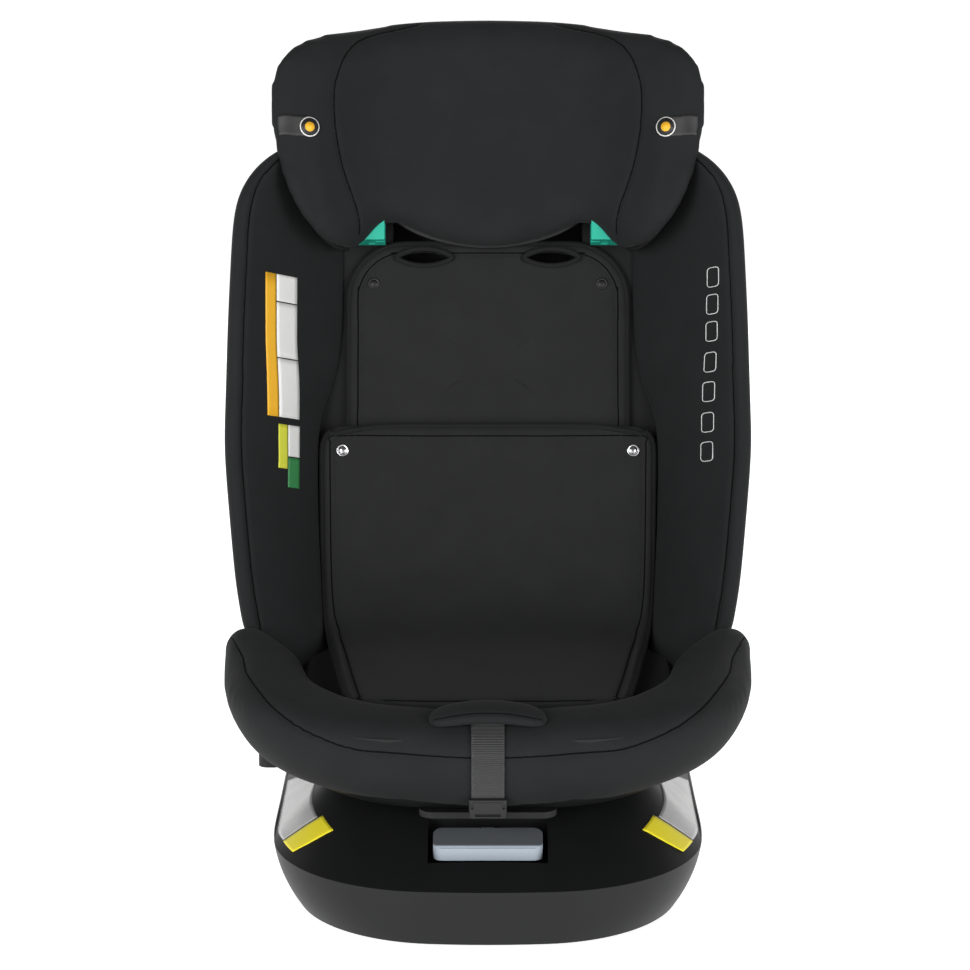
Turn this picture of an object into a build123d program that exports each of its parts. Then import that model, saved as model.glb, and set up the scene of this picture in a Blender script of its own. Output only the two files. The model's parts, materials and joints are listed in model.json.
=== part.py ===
from build123d import *
import os
from math import cos, radians, sin

# Rotating child car seat for 3-point belt and rigid-anchor fitting: a low base with sliding anchor arms, a
# turntable, a bucket seat that reclines on curved rails, and a headrest that slides up the backrest.
#
# Row frame: +Z up, -Y is the front of the seat, +X the left-hand side of someone sitting in it. The origin is
# the swivel axis at the underside of the base. Millimetres.

# ---------------------------------------------------------------- driving dimensions
SEAT_HALF_WIDTH = 224  # widest point of the wings and armrests
BASE_HALF_WIDTH = 173  # at the ridge where tray and cover meet
BASE_FRONT, BASE_BACK = -297, 205
BASE_BOW = 24  # how far the middle of its front stands ahead of the corners
RIDGE_Z, DECK_Z = 47, 84
WALL = 3.5
CLEAR = 0.4  # between neighbouring soft parts and shells

BACK_LEAN = 18  # degrees, backrest from vertical
CREASE_Y, CREASE_Z = 60, 165  # where seat and backrest surfaces meet
SHELL_TOP = 412  # along the backrest from the crease
SHELL_BOTTOM = -20
WING_DEPTH = 105  # wing tips in front of the backrest surface, at the armrests
HEAD_BOTTOM, HEAD_TOP = 320, 515
CARRIER_BACK, CARRIER_FRONT = -57, -49.5  # headrest carrier, behind the foam

RECLINE_Y, RECLINE_Z = 10, 430  # centre of the recline arc
RAIL_R = 331
ANCHOR_X = 140  # half of the 280 mm spacing of the car's lower anchors
ANCHOR_BAR_R = 3.3
TURNTABLE_R = 115
PIN_R, PIN_RUN = 15, 0.06
FLOOR_Z = (131, 135)  # seat pan floor

BACK = Plane(
    origin=(0, CREASE_Y, CREASE_Z),
    x_dir=(1, 0, 0),
    z_dir=(0, -cos(radians(BACK_LEAN)), sin(radians(BACK_LEAN))),
)


# ---------------------------------------------------------------- helpers
def block(x, y, z):
    """A box from its three (low, high) pairs."""
    size = [hi - lo for lo, hi in (x, y, z)]
    middle = [(hi + lo) / 2 for lo, hi in (x, y, z)]
    return Pos(*middle) * Box(*size)


def both(x, y, z):
    """The same box on the right and mirrored on the left."""
    right = block(x, y, z)
    return [right, mirror(right, about=Plane.YZ)]


def disc(radius, z0, z1, x=0, y=0):
    return Pos(x, y, (z0 + z1) / 2) * Cylinder(radius, z1 - z0)


def plan(half_width, front, back, corner, bow=18, rear_corner=20):
    """Plan outline with a bowed front, large front corners and small rear ones."""
    shoulder = front + bow
    edges = [
        Line((-half_width, back), (-half_width, shoulder)),
        ThreePointArc((-half_width, shoulder), (0, front), (half_width, shoulder)),
        Line((half_width, shoulder), (half_width, back)),
        Line((half_width, back), (-half_width, back)),
    ]
    face = make_face(edges)
    face = fillet(face.vertices().sort_by(Axis.Y)[:2], corner)
    return fillet(face.vertices().sort_by(Axis.Y)[-2:], rear_corner)


def stack(levels, inset=0.0, **kw):
    """Loft of plan outlines given as (z, half width, front, back, corner)."""
    return loft(
        [Pos(0, 0, z) * plan(w - inset, f + inset, b - inset, c - inset, **kw) for z, w, f, b, c in levels]
    )


def band(s, points):
    """A face across the backrest at height s, from (x, d) points; d is forward of the backrest surface."""
    across = Plane(origin=(0, s, 0), x_dir=(1, 0, 0), z_dir=(0, -1, 0))
    return across * make_face(Polyline(*[(x, d) for x, d in points], close=True))


def along_back(stations):
    """Ruled loft up the backrest, placed in the row frame."""
    return BACK * loft([band(s, points) for s, points in stations], ruled=True)


def on_back(x, s, d):
    """A box in backrest coordinates."""
    return BACK * block(x, s, d)


def mirrored(points):
    """Closes a half section by mirroring it about the centre."""
    return points + [(-x, d) for x, d in reversed(points)]


def below_shell(gap):
    """Everything under the plane where the backrest shells end."""
    return on_back((-300, 300), (-700, SHELL_BOTTOM - gap), (-400, 400))


def front_prism(face):
    """A prism across the whole depth of the backrest, from an outline drawn in (x, s)."""
    return BACK * (Pos(0, 0, -90) * extrude(face, 300))


def swept_strap(points, half_width, thickness):
    """Webbing that follows a line in the YZ plane."""
    side = Plane(origin=(-half_width, 0, 0), x_dir=(0, 1, 0), z_dir=(1, 0, 0))
    line = Polyline(*points)
    face = trace(line, line_width=thickness)
    return extrude(side * face, 2 * half_width)


parts = {}

# ---------------------------------------------------------------- base
TRAY_FLOOR = 6.5
TRAY_LEVELS = [
    (3, 153, -293, 194, 118),
    (26, 167, -296, 201, 126),
    (RIDGE_Z, BASE_HALF_WIDTH, BASE_FRONT, BASE_BACK, 130),
]
COVER_LEVELS = [
    (RIDGE_Z, BASE_HALF_WIDTH, BASE_FRONT, BASE_BACK, 130),
    (60, 158, -262, 194, 118),
    (DECK_Z, 128, -206, 160, 100),
]
ARM_WINDOW = dict(y=(150, 260), z=(16, 49))
ARM_X = (ANCHOR_X - 13, ANCHOR_X + 13)
SCREWS = [(x, y) for x in (-108, 108) for y in (-205, 128)] + [(-60, -150), (60, -150)]


def base_tray():
    shell = stack(TRAY_LEVELS, bow=BASE_BOW) - stack(
        [(TRAY_FLOOR, *TRAY_LEVELS[0][1:]), *TRAY_LEVELS[1:]], inset=WALL, bow=BASE_BOW
    )
    for window in both((ARM_X[0] - 3, ARM_X[1] + 3), **ARM_WINDOW):
        shell -= window
    for x, y in SCREWS:
        shell += disc(7, 6, 44, x, y)
        shell -= disc(4.4, 3, 7, x, y) + disc(2.2, 3, 40, x, y)
    return shell


def base_cover():
    outer = stack(COVER_LEVELS, bow=BASE_BOW)
    lowered = [(z - WALL if z > RIDGE_Z else z, *rest) for z, *rest in COVER_LEVELS]
    hollow = stack(lowered, inset=WALL, bow=BASE_BOW)
    pocket = block((-51, 51), (-268, -200), (RIDGE_Z, DECK_Z))
    recess = block((-47, 47), (-263, -204), (RIDGE_Z + 4, DECK_Z + 10))
    cover = outer - hollow + (pocket & outer) - recess
    cover -= block((-7, 7), (-210, -196), (58, 68))
    return cover - disc(TURNTABLE_R + 3, 60, DECK_Z + 1)


def bearing_carrier():
    """Drum that stands on the tray and carries the swivel pin."""
    drum = disc(104, 6.5, 62) - disc(100, 6, 56)
    drum += disc(PIN_R, 60, 90)
    for angle in (0, 180):
        drum -= Rot(0, 0, angle) * block((-9, 9), (-110, -90), (40, 70))
    return drum


def anchor_guide(side):
    """Rectangular steel tube that the anchor arm slides in."""
    tube = block(ARM_X, (-176, 186), (19, 45)) - block(
        (ARM_X[0] + 2, ARM_X[1] - 2), (-180, 190), (21, 43)
    )
    return tube if side > 0 else mirror(tube, about=Plane.YZ)


def anchor_frame():
    """Cross members that tie the two guides into one frame."""
    span = ARM_X[0] - 0.2
    front = block((-span, span), (-172, -150), (22, 40))
    front -= block((-span - 1, span + 1), (-170, -152), (24, 38))
    rear = block((-span, span), (142, 162), (22, 40))
    rear -= block((-span - 1, span + 1), (144, 160), (24, 38))
    posts = sum((disc(8.5, 20, 42, x, y) for x, y in SCREWS[-2:]), Part())
    return Compound([*(front - posts).solids(), *(rear - posts).solids()])


parts["base_tray"] = base_tray()
parts["base_cover"] = base_cover()
parts["base_grip_mat"] = extrude(plan(124, -262, 165, 80), 3)
parts["base_screws"] = Compound(
    [(disc(4, 3.4, 6.5, x, y) + disc(2, 6, 30, x, y)).solid() for x, y in SCREWS]
)
parts["bearing_carrier"] = bearing_carrier()
parts["bearing_ring"] = disc(108, 62, 71.7) - disc(84, 61, 72)
parts["swivel_nut"] = disc(24, 80.4, 87) - disc(PIN_R, 80, 88)
parts["bearing_carrier"] -= disc(PIN_R + 1, 87, 91)
parts["anchor_guide_left"] = anchor_guide(-1)
parts["anchor_guide_right"] = anchor_guide(1)
parts["anchor_frame"] = anchor_frame()

# ---------------------------------------------------------------- release handle for the anchor arms
HANDLE_X, HANDLE_Y, HANDLE_Z = (-43, 43), (-252, -226), (57, 75)


def release_handle():
    """Bar with an upright front and a top that slopes down to it."""
    (front, rear), (low, high) = HANDLE_Y, HANDLE_Z
    side = Plane(origin=(HANDLE_X[0], 0, 0), x_dir=(0, 1, 0), z_dir=(1, 0, 0))
    section = Polyline((front, low), (front, low + 10), (front + 3, low + 11.5), (rear, high), (rear, low), close=True)
    bar = extrude(side * make_face(section), HANDLE_X[1] - HANDLE_X[0])
    bar &= fillet(block(HANDLE_X, HANDLE_Y, (low - 1, high + 1)).edges().filter_by(Axis.Z), 8)
    return bar - block((-50, 50), (front - 5, front + 2), (low + 10, low + 11))


def release_rod():
    """Pull rod with the cross bar that locks both arms."""
    rod = block((-5, 5), (-226, -178), (60, 66))
    drop = block((-5, 5), (-184, -178), (28, 66))
    cross = block((-110, 110), (-186, -178), (28, 34))
    return rod + drop + cross


parts["release_handle"] = release_handle()
parts["release_rod"] = release_rod()

# ---------------------------------------------------------------- anchor arms
ARM_BACK = 214
HEAD_BACK = 286


def anchor_arm(side):
    bar = block((ANCHOR_X - 9, ANCHOR_X + 9), (-150, ARM_BACK), (24, 40))
    for k in range(8):
        bar -= block((ANCHOR_X - 12, ANCHOR_X + 12), (-140 + 22 * k, -132 + 22 * k), (34, 41))
    return bar if side > 0 else mirror(bar, about=Plane.YZ)


def connector_casing(side):
    casing = block((ANCHOR_X - 15, ANCHOR_X + 15), (ARM_BACK, HEAD_BACK), (16, 48))
    casing = fillet(casing.edges().filter_by(Axis.Y), 5)
    casing -= block((ANCHOR_X - 7, ANCHOR_X + 7), (ARM_BACK + 10, HEAD_BACK + 1), (20, 44))
    casing -= block((ANCHOR_X - 20, ANCHOR_X + 20), (HEAD_BACK - 30, HEAD_BACK + 1), (27, 37))
    casing -= block((ANCHOR_X - 5.5, ANCHOR_X + 5.5), (ARM_BACK + 14, ARM_BACK + 44), (40, 50))
    return casing if side > 0 else mirror(casing, about=Plane.YZ)


def connector_jaw(side):
    """Steel plate with the slot that takes the car's 6 mm anchor bar."""
    jaw = block((ANCHOR_X - 6, ANCHOR_X + 6), (ARM_BACK + 10.5, HEAD_BACK), (21, 38))
    seat_y = HEAD_BACK - 26
    slot_z = (32 - ANCHOR_BAR_R, 32 + ANCHOR_BAR_R)
    slot = block((ANCHOR_X - 10, ANCHOR_X + 10), (seat_y, HEAD_BACK + 1), slot_z)
    end = Pos(ANCHOR_X, seat_y, 32) * Rot(0, 90, 0) * Cylinder(ANCHOR_BAR_R, 20)
    jaw -= slot + end
    return jaw if side > 0 else mirror(jaw, about=Plane.YZ)


def connector_catch(side):
    """Thumb slide on top of the connector that opens the jaw."""
    slide = block((ANCHOR_X - 5, ANCHOR_X + 5), (ARM_BACK + 16, ARM_BACK + 32), (39, 50))
    slide += block((ANCHOR_X - 9, ANCHOR_X + 9), (ARM_BACK + 14, ARM_BACK + 34), (48.3, 52))
    return slide if side > 0 else mirror(slide, about=Plane.YZ)


for name, side in (("left", -1), ("right", 1)):
    parts[f"anchor_arm_{name}"] = anchor_arm(side)
    parts[f"connector_casing_{name}"] = connector_casing(side)
    parts[f"connector_jaw_{name}"] = connector_jaw(side)
    parts[f"connector_catch_{name}"] = connector_catch(side)

# ---------------------------------------------------------------- turntable and recline
RAIL_X = (62, 78)
CRADLE_X = (57, 83)
CRADLE_R = RAIL_R - 7  # the cradle walls rise this far up beside the rail


def turntable_plate():
    plate = disc(112, 72, 80) - disc(PIN_R + PIN_RUN, 71, 81)
    for k in range(8):
        x, y = 94 * cos(radians(45 * k)), 94 * sin(radians(45 * k))
        plate -= disc(6, 71, 76, x, y)
    return plate


def turntable_cover():
    return disc(TURNTABLE_R, 80, 88) - disc(27, 79, 89)


def recline_cradle(side):
    """Channel on the turntable with a concave floor that the seat rail runs in."""
    body = block(CRADLE_X, (-95, 98), (88, 128))
    floor = Pos(70, RECLINE_Y, RECLINE_Z) * Rot(0, 90, 0) * Cylinder(RAIL_R + 0.3, 60)
    lips = Pos(70, RECLINE_Y, RECLINE_Z) * Rot(0, 90, 0) * Cylinder(CRADLE_R, 60)
    channel = block((RAIL_X[0] - 0.4, RAIL_X[1] + 0.4), (-120, 120), (80, 200)) & floor
    body = body - channel - lips
    return body if side > 0 else mirror(body, about=Plane.YZ)


def recline_rail(side):
    """Skid under the seat pan with a curved underside."""
    drum = Pos(70, RECLINE_Y, RECLINE_Z) * Rot(0, 90, 0) * Cylinder(RAIL_R, 60)
    rail = block(RAIL_X, (-128, 100), (95, FLOOR_Z[0])) & drum
    for y in (-70, -10, 50):
        rail -= block((50, 90), (y - 18, y + 18), (116, FLOOR_Z[0] - 5))
    rail &= below_shell(1)
    return rail if side > 0 else mirror(rail, about=Plane.YZ)


def swivel_lever():
    """Black pull on the seat's right-hand side that frees the turntable."""
    arm = block((-182, -112), (-108, -92), (89, 93))
    knob = block((-189, -169), (-116, -84), (88.6, 100))
    knob = fillet(knob.edges().filter_by(Axis.Z), 8)
    return arm + fillet(knob.edges().group_by(Axis.Z)[-1], 3)


parts["turntable_plate"] = turntable_plate()
parts["turntable_cover"] = turntable_cover()
for name, side in (("left", -1), ("right", 1)):
    parts[f"recline_cradle_{name}"] = recline_cradle(side)
    parts[f"recline_rail_{name}"] = recline_rail(side)
parts["swivel_lever"] = swivel_lever()

# ---------------------------------------------------------------- seat pan and front bumper
HULL_BACK = 124
HULL_LEVELS = [
    (95, 150, -250, HULL_BACK, 108),
    (112, 184, -259, HULL_BACK, 130),
    (138, 206, -265, HULL_BACK, 144),
    (165, 218, -267, HULL_BACK, 152),
    (212, SEAT_HALF_WIDTH, -262, HULL_BACK, 152),
]
PAN_INSET = 12
RIM_Z = 156
RIM_SLOPE = 6.3  # degrees, the top of the bumper rises towards the armrests
RIM_FRONT_Z = 166


def hull(inset, low=HULL_LEVELS[0][0], high=HULL_LEVELS[-1][0]):
    solid = stack(HULL_LEVELS, inset=inset, rear_corner=45)
    return solid & block((-300, 300), (-300, 200), (low, high))


def recline_sweep(radius):
    """Space that stays clear of the deck through the whole recline."""
    drum = Pos(0, RECLINE_Y, RECLINE_Z) * Rot(0, 90, 0) * Cylinder(radius, 600)
    return drum + block((-300, 300), (-400, RECLINE_Y), (80, 300))


def seat_pan():
    inner = PAN_INSET + WALL
    pan = hull(PAN_INSET, high=RIM_Z)
    pan -= hull(inner, high=FLOOR_Z[0])
    pan -= hull(inner, low=FLOOR_Z[1], high=RIM_Z)
    pan = pan & below_shell(0.5)
    pan = pan & recline_sweep(335)
    drum = Pos(0, RECLINE_Y, RECLINE_Z) * Rot(0, 90, 0) * Cylinder(CRADLE_R - 1, 600)
    for slot in both((CRADLE_X[0] - 2, CRADLE_X[1] + 2), (-125, 140), (80, 150)):
        pan -= slot - drum
    return pan


def seat_well(low, grow=0.0):
    """The hollow of the seat, seen from above, down to a given height."""
    well = plan(150 + grow, -200 - grow, 140, 96 + grow, bow=10)
    return Pos(0, 0, low) * extrude(well, 120)


def front_bumper():
    """Padded rim: left armrest, front and right armrest in one U."""
    rim = hull(0, low=97.5) - hull(PAN_INSET - CLEAR, high=RIM_Z + CLEAR)
    rim -= seat_well(90)
    slope = Rot(RIM_SLOPE, 0, 0) * block((-300, 300), (-500, 500), (0, 200))
    rim -= Pos(0, -262, RIM_FRONT_Z) * slope
    rim -= block((-300, 300), (70, 300), (0, 400))
    rim &= recline_sweep(333)
    return rim - on_back((-300, 300), (SHELL_BOTTOM - 1, 500), (-400, WING_DEPTH + 2))


BUCKLE_Y, BUCKLE_TOP = (-108, -46), FLOOR_Z[1] + 18


def seat_cushion():
    pad = Pos(0, 0, FLOOR_Z[1] + 0.5) * extrude(plan(148, -198, 40, 94, bow=10), 20)
    pad -= block((-31, 31), (BUCKLE_Y[0] - 4, BUCKLE_Y[1] + 4), (FLOOR_Z[1], 180))
    return pad & below_shell(1)


parts["seat_pan"] = seat_pan()
parts["front_bumper"] = front_bumper()
parts["seat_cushion"] = seat_cushion()
parts["recline_lever"] = fillet(
    block((-54, 54), (-246, -200), (89.5, 94.5)).edges().filter_by(Axis.Z), 12
)
parts["recline_lever"] += block((-8, 8), (-202, -150), (91, 94.5))

# ---------------------------------------------------------------- crotch buckle and harness adjuster


def crotch_buckle():
    body = block((-28, 28), BUCKLE_Y, (FLOOR_Z[1] + 0.5, BUCKLE_TOP))
    body = fillet(body.edges().filter_by(Axis.Z), 8)
    return body - block((-12, 12), (-104, -76), (BUCKLE_TOP - 6, BUCKLE_TOP + 1))


parts["crotch_buckle"] = crotch_buckle()
parts["buckle_button"] = block((-11.5, 11.5), (-103.5, -84), (BUCKLE_TOP - 2.6, BUCKLE_TOP + 1.5))
ADJUSTER_Z = RIM_Z + 1
parts["harness_adjuster"] = block((-19, 19), (-233, -206), (ADJUSTER_Z, ADJUSTER_Z + 8))
parts["harness_adjuster"] -= block((-12.5, 12.5), (-231, -209.5), (ADJUSTER_Z + 3, ADJUSTER_Z + 9))
parts["adjuster_button"] = block((-12, 12), (-230.5, -210), (ADJUSTER_Z + 5.5, ADJUSTER_Z + 11))
parts["front_bumper"] -= block((-20, 20), (-234, -205), (RIM_Z, 190))
parts["adjuster_flap"] = block((-48, 48), (-243, -203), (ADJUSTER_Z + 12, ADJUSTER_Z + 15))
parts["front_bumper"] -= block((-49, 49), (-290, -195), (ADJUSTER_Z + 9.5, 200))

STRAP = [(-233.4, 161), (-250, 161), (-269.5, 155), (-271, 147), (-270, 138), (-265.5, 113.2)]
parts["adjuster_strap"] = swept_strap(STRAP, 13, 1.6)
parts["front_bumper"] -= swept_strap(STRAP[:3], 15, 4.4)
parts["strap_end_clip"] = (
    Pos(0, -262.5, 103.5) * Rot(15, 0, 0) * (Box(30, 5, 18) - Pos(0, 0, -4) * Box(22, 9, 3))
)

# ---------------------------------------------------------------- backrest
# height up the backrest, inner corner, outermost x, wing tip depth
STATIONS = [
    (SHELL_BOTTOM, 149, 209, WING_DEPTH - 1),
    (30, 149, 214, WING_DEPTH),
    (139, 149, SEAT_HALF_WIDTH, 108),
    (175, 147, 223.5, 110),
    (215, 124, 222, 112),
    (256, 120, 221, 113),
    (345, 118, 217, 116),
    (SHELL_TOP, 117, 215, 118),
]
SHELL_EDGE = 80  # depth at which the plastic shell ends and the fabric wing begins
CARRIER_X, CHANNEL_X = 70, 84
FOAM_SPLIT = 235  # above this the foam is open for the headrest carrier


def trimmed_top(shape, corner=75):
    """Rounds the top corners as seen from the front."""
    outline = Pos(0, SHELL_TOP / 2 - 50) * Rectangle(2 * SEAT_HALF_WIDTH, SHELL_TOP + 100)
    outline = fillet(outline.vertices().sort_by(Axis.Y)[-2:], corner)
    return shape & front_prism(outline)


def back_shell():
    stations = []
    for s, _, x, _ in STATIONS:
        outer = [(x - 5, SHELL_EDGE), (x - 22, 0), (x - 45, -45), (x - 66, -61)]
        inner = [(x - 8.6, SHELL_EDGE), (x - 25.6, 0), (x - 47.6, -42.4), (x - 67.5, -57.5)]
        stations.append((s, mirrored(outer) + mirrored(inner)[::-1]))
    shell = trimmed_top(along_back(stations))
    for x in (CARRIER_X + 0.6, -CARRIER_X - 6.6):
        shell += on_back((x, x + 6), (110, 400), (-58, -50))
    return shell


def wing(side):
    stations = [
        (
            s,
            [
                (x_in, 0.4),
                (x - 14, tip - 4),
                (x - 7, tip),
                (x, tip - 8),
                (x - 3, SHELL_EDGE + 1),
                (x - 10, SHELL_EDGE + 0.6),
                (x - 27, 0.4),
            ],
        )
        for s, x_in, x, tip in STATIONS
    ]
    pad = trimmed_top(along_back(stations))
    return pad if side > 0 else mirror(pad, about=Plane.YZ)


def back_panel(d0, d1):
    """Foam or cover between the wings, open above FOAM_SPLIT for the headrest."""
    stations = [(s, mirrored([(x_in + 3, d1), (x_in + 3, d0)])) for s, x_in, _, _ in STATIONS]
    panel = trimmed_top(along_back(stations))
    return panel - on_back((-CHANNEL_X, CHANNEL_X), (FOAM_SPLIT, 500), (-100, 50))


parts["back_shell"] = back_shell()
parts["back_foam"] = back_panel(-48, -8.5)
parts["back_cover"] = back_panel(-8, 0)
for name, side in (("left", -1), ("right", 1)):
    parts[f"wing_{name}"] = wing(side)
parts["harness_yoke"] = on_back((-35, 35), (40, 62), (-56, -52)) - on_back((-20, 20), (46, 50), (-60, -50))

# ---------------------------------------------------------------- lower insert
INSERT_BACK, INSERT_FRONT, INSERT_TOP = 10, 24, 168


def lower_insert():
    """One pad in an L: up the backrest and forward over the cushion."""
    up = on_back((-146, 146), (-8, INSERT_TOP), (INSERT_BACK, INSERT_FRONT))
    up = fillet(up.edges().filter_by(lambda e: e.center().Z > 300 and abs(e.center().X) > 140), 18)
    seat = Pos(0, 0, FLOOR_Z[1] + 21.2) * extrude(plan(146, -196, 52, 93, bow=10), 12)
    seat -= on_back((-300, 300), (-100, 400), (-400, INSERT_BACK))
    return up + seat


parts["lower_insert"] = lower_insert()
parts["insert_snaps"] = Compound(
    [
        (BACK * (Pos(x, 152, INSERT_FRONT + 1.2) * Cylinder(6, 2.2))).solid()
        for x in (-130, 130)
    ]
)

# ---------------------------------------------------------------- headrest
HEAD_BACK_FACE, HEAD_CENTRE = 11, 50
HEAD_OUTLINE = [(128, HEAD_BOTTOM), (162, 334), (190, 430), (184, 466), (160, 492), (118, 508), (70, HEAD_TOP)]
HEAD_CORNER = 22
LOBE = [(104, 15), (109, 15), (183, 99), (190, 100.5), (184, 110), (160, 106), (104, 51)]
UPPER_INSERT = (118, 350)
SLOT_X, SLOT_S = (34, 78), (316, 328)
GUIDE_X, GUIDE_S, GUIDE_D = (90, 114), (330, 352), (14, 44)
NOTCH_TOP = 364  # the pads are cut away up to here for the guides
POST_S = (356, 384)
POSTS = ((36, 54), (-54, -36))


def head_outline(inset=0.0):
    points = [(x - inset, s) for x, s in HEAD_OUTLINE]
    face = make_face(Polyline(*points, *[(-x, s) for x, s in reversed(points)], close=True))
    return fillet(face.vertices(), HEAD_CORNER)


def head_piece(points, inset=0.0):
    piece = along_back([(HEAD_BOTTOM - 10, points), (HEAD_TOP + 10, points)])
    return piece & front_prism(head_outline(inset))


def head_shell():
    outer = [(188, 97.6), (112, HEAD_BACK_FACE)]
    inner = [(184.5, 97.6), (110.5, HEAD_BACK_FACE + WALL)]
    shell = head_piece(mirrored(outer) + mirrored(inner)[::-1], inset=4)
    for notch in (GUIDE_X, (-GUIDE_X[1], -GUIDE_X[0])):
        shell -= on_back((notch[0] - 1, notch[1] + 1), (280, GUIDE_S[1] + 1), (12, 130))
    return shell


def head_pad():
    pad = head_piece(mirrored([(103, HEAD_CENTRE), (103, HEAD_BACK_FACE + 4)]))
    for notch in (GUIDE_X, (-GUIDE_X[1], -GUIDE_X[0])):
        pad -= on_back((notch[0] - 1, notch[1] + 1), (280, NOTCH_TOP), (12, 130))
    return pad


def head_lobe(side):
    lobe = head_piece(LOBE)
    lobe -= on_back((GUIDE_X[0] - 1, GUIDE_X[1] + 1), (280, NOTCH_TOP), (12, 130))
    return lobe if side > 0 else mirror(lobe, about=Plane.YZ)


def belt_guide(side):
    """Hook that leads the car's shoulder belt, with a slanted mouth."""
    guide = on_back(GUIDE_X, GUIDE_S, GUIDE_D)
    guide -= on_back((98, 105), (300, 370), (18, 40))
    guide -= on_back((80, 99), (300, 370), (30, 35))
    guide += on_back((92, 108), (GUIDE_S[1] - 1, NOTCH_TOP - 1), (HEAD_BACK_FACE + 3.7, 18))
    return guide if side > 0 else mirror(guide, about=Plane.YZ)


def head_carrier():
    plate = on_back((-CARRIER_X, CARRIER_X), (215, 470), (CARRIER_BACK, CARRIER_FRONT))
    for k in range(9):
        plate -= on_back((-12, 12), (228 + 16 * k, 235 + 16 * k), (-60, -40))
    for post in POSTS:
        plate += on_back(post, POST_S, (CARRIER_FRONT - 1, HEAD_BACK_FACE - 0.1))
    return plate


def head_rear_cover():
    """Open box that closes the gap between the headrest and its carrier."""
    cover = on_back((-80, 80), (351, 478), (-48.5, HEAD_BACK_FACE - 0.5))
    cover -= on_back((-77, 77), (354, 475), (-45.5, 20))
    for x0, x1 in POSTS:
        cover -= on_back((x0 - 0.5, x1 + 0.5), (POST_S[0] - 0.5, POST_S[1] + 0.5), (-60, 20))
    return cover


def upper_insert():
    pad = on_back((-115, 115), UPPER_INSERT, (1, 9))
    for x0, x1 in (SLOT_X, (-SLOT_X[1], -SLOT_X[0])):
        pad -= on_back((x0, x1), SLOT_S, (-5, 15))
    return pad


parts["head_carrier"] = head_carrier()
parts["head_rear_cover"] = head_rear_cover()
parts["head_shell"] = head_shell()
parts["head_pad"] = head_pad()
parts["upper_insert"] = upper_insert()
for name, side in (("left", -1), ("right", 1)):
    parts[f"head_lobe_{name}"] = head_lobe(side)
    parts[f"belt_guide_{name}"] = belt_guide(side)
parts["upper_snaps"] = Compound(
    [(BACK * (Pos(x, 293, 9.7) * Cylinder(5.5, 1.3))).solid() for x in (-102, 102)]
)
parts["head_lever"] = on_back((-28, 28), (484, 506), (2.5, 9.5))

# ---------------------------------------------------------------- files
os.makedirs("parts", exist_ok=True)
for name, shape in parts.items():
    export_step(shape, f"parts/{name}.step")
print(len(parts), "parts written")
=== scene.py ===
# %% [markdown]
# A rotating child seat, dressed in knitted covers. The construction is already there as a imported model, and
# it is loaded first. Everything after that is looks: covers, seams, webbing and finishes.

# %% Load the construction
import json
from math import atan2, cos, exp, pi, radians, sin, sqrt, tan

import bmesh
import bpy
from mathutils import Matrix, Vector
from mathutils.bvhtree import BVHTree
from mathutils.kdtree import KDTree


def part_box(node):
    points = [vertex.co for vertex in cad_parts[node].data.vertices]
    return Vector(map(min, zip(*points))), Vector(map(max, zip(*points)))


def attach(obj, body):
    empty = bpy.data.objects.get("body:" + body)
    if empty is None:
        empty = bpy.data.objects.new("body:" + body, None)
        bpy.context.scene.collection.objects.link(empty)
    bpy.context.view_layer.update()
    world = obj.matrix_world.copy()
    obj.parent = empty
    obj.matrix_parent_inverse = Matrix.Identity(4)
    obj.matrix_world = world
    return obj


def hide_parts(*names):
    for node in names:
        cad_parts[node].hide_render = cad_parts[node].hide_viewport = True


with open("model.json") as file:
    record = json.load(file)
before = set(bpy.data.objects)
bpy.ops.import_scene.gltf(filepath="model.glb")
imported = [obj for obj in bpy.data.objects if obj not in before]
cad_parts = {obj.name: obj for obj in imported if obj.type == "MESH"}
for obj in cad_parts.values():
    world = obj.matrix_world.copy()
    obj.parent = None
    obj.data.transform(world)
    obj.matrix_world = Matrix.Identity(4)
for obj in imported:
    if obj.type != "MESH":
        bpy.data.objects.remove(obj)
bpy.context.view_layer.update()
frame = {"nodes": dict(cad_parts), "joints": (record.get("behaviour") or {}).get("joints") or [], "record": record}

MM = 0.001
scene = bpy.context.scene
nodes = frame["nodes"]
joints = {j["name"]: j for j in frame["joints"]}

# %% [markdown]
# The backrest leans, so its pieces are easiest to draw in its own directions: x across, s up the backrest
# and d forward of its surface. The lean is the direction that the headrest slides in, and the crease is
# where the seat and the backrest surfaces meet.

# %% Backrest directions
UP_BACK = Vector(joints["headrest_slide"]["axis"])
OUT_BACK = Vector((0, -UP_BACK.z, UP_BACK.y))
cover_low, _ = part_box("back_cover")
CREASE = Vector((0, cover_low.y, cover_low.z)) + 20 * MM * UP_BACK + Vector((0, 0, 8 * MM * UP_BACK.y))


def on_back(x, s, d):
    """A point on the backrest, from millimetres across, up it and forward of it."""
    return Vector((x * MM, 0, 0)) + CREASE + s * MM * UP_BACK + d * MM * OUT_BACK


print("crease at", [round(v, 4) for v in CREASE], "lean", [round(v, 3) for v in UP_BACK])

# %% [markdown]
# A product photographer stands a few metres back with a long lens and looks slightly down. The lens is set
# for a 36 mm sensor, and the camera is aimed at a point a little under the middle of the seat.

# %% Camera
CAMERA_PLACE = Vector((0, -2.501, 0.869))
CAMERA_DOWN = radians(12.8)
camera_data = bpy.data.cameras.new("camera")
camera_data.sensor_width = 36
camera_data.lens = 112.7
camera_data.shift_x = -0.003
camera = bpy.data.objects.new("camera", camera_data)
scene.collection.objects.link(camera)
camera.location = CAMERA_PLACE
camera.rotation_euler = (pi / 2 - CAMERA_DOWN, 0, 0)
scene.camera = camera
print("camera looks down", round(CAMERA_DOWN * 180 / pi, 1), "degrees")

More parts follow.
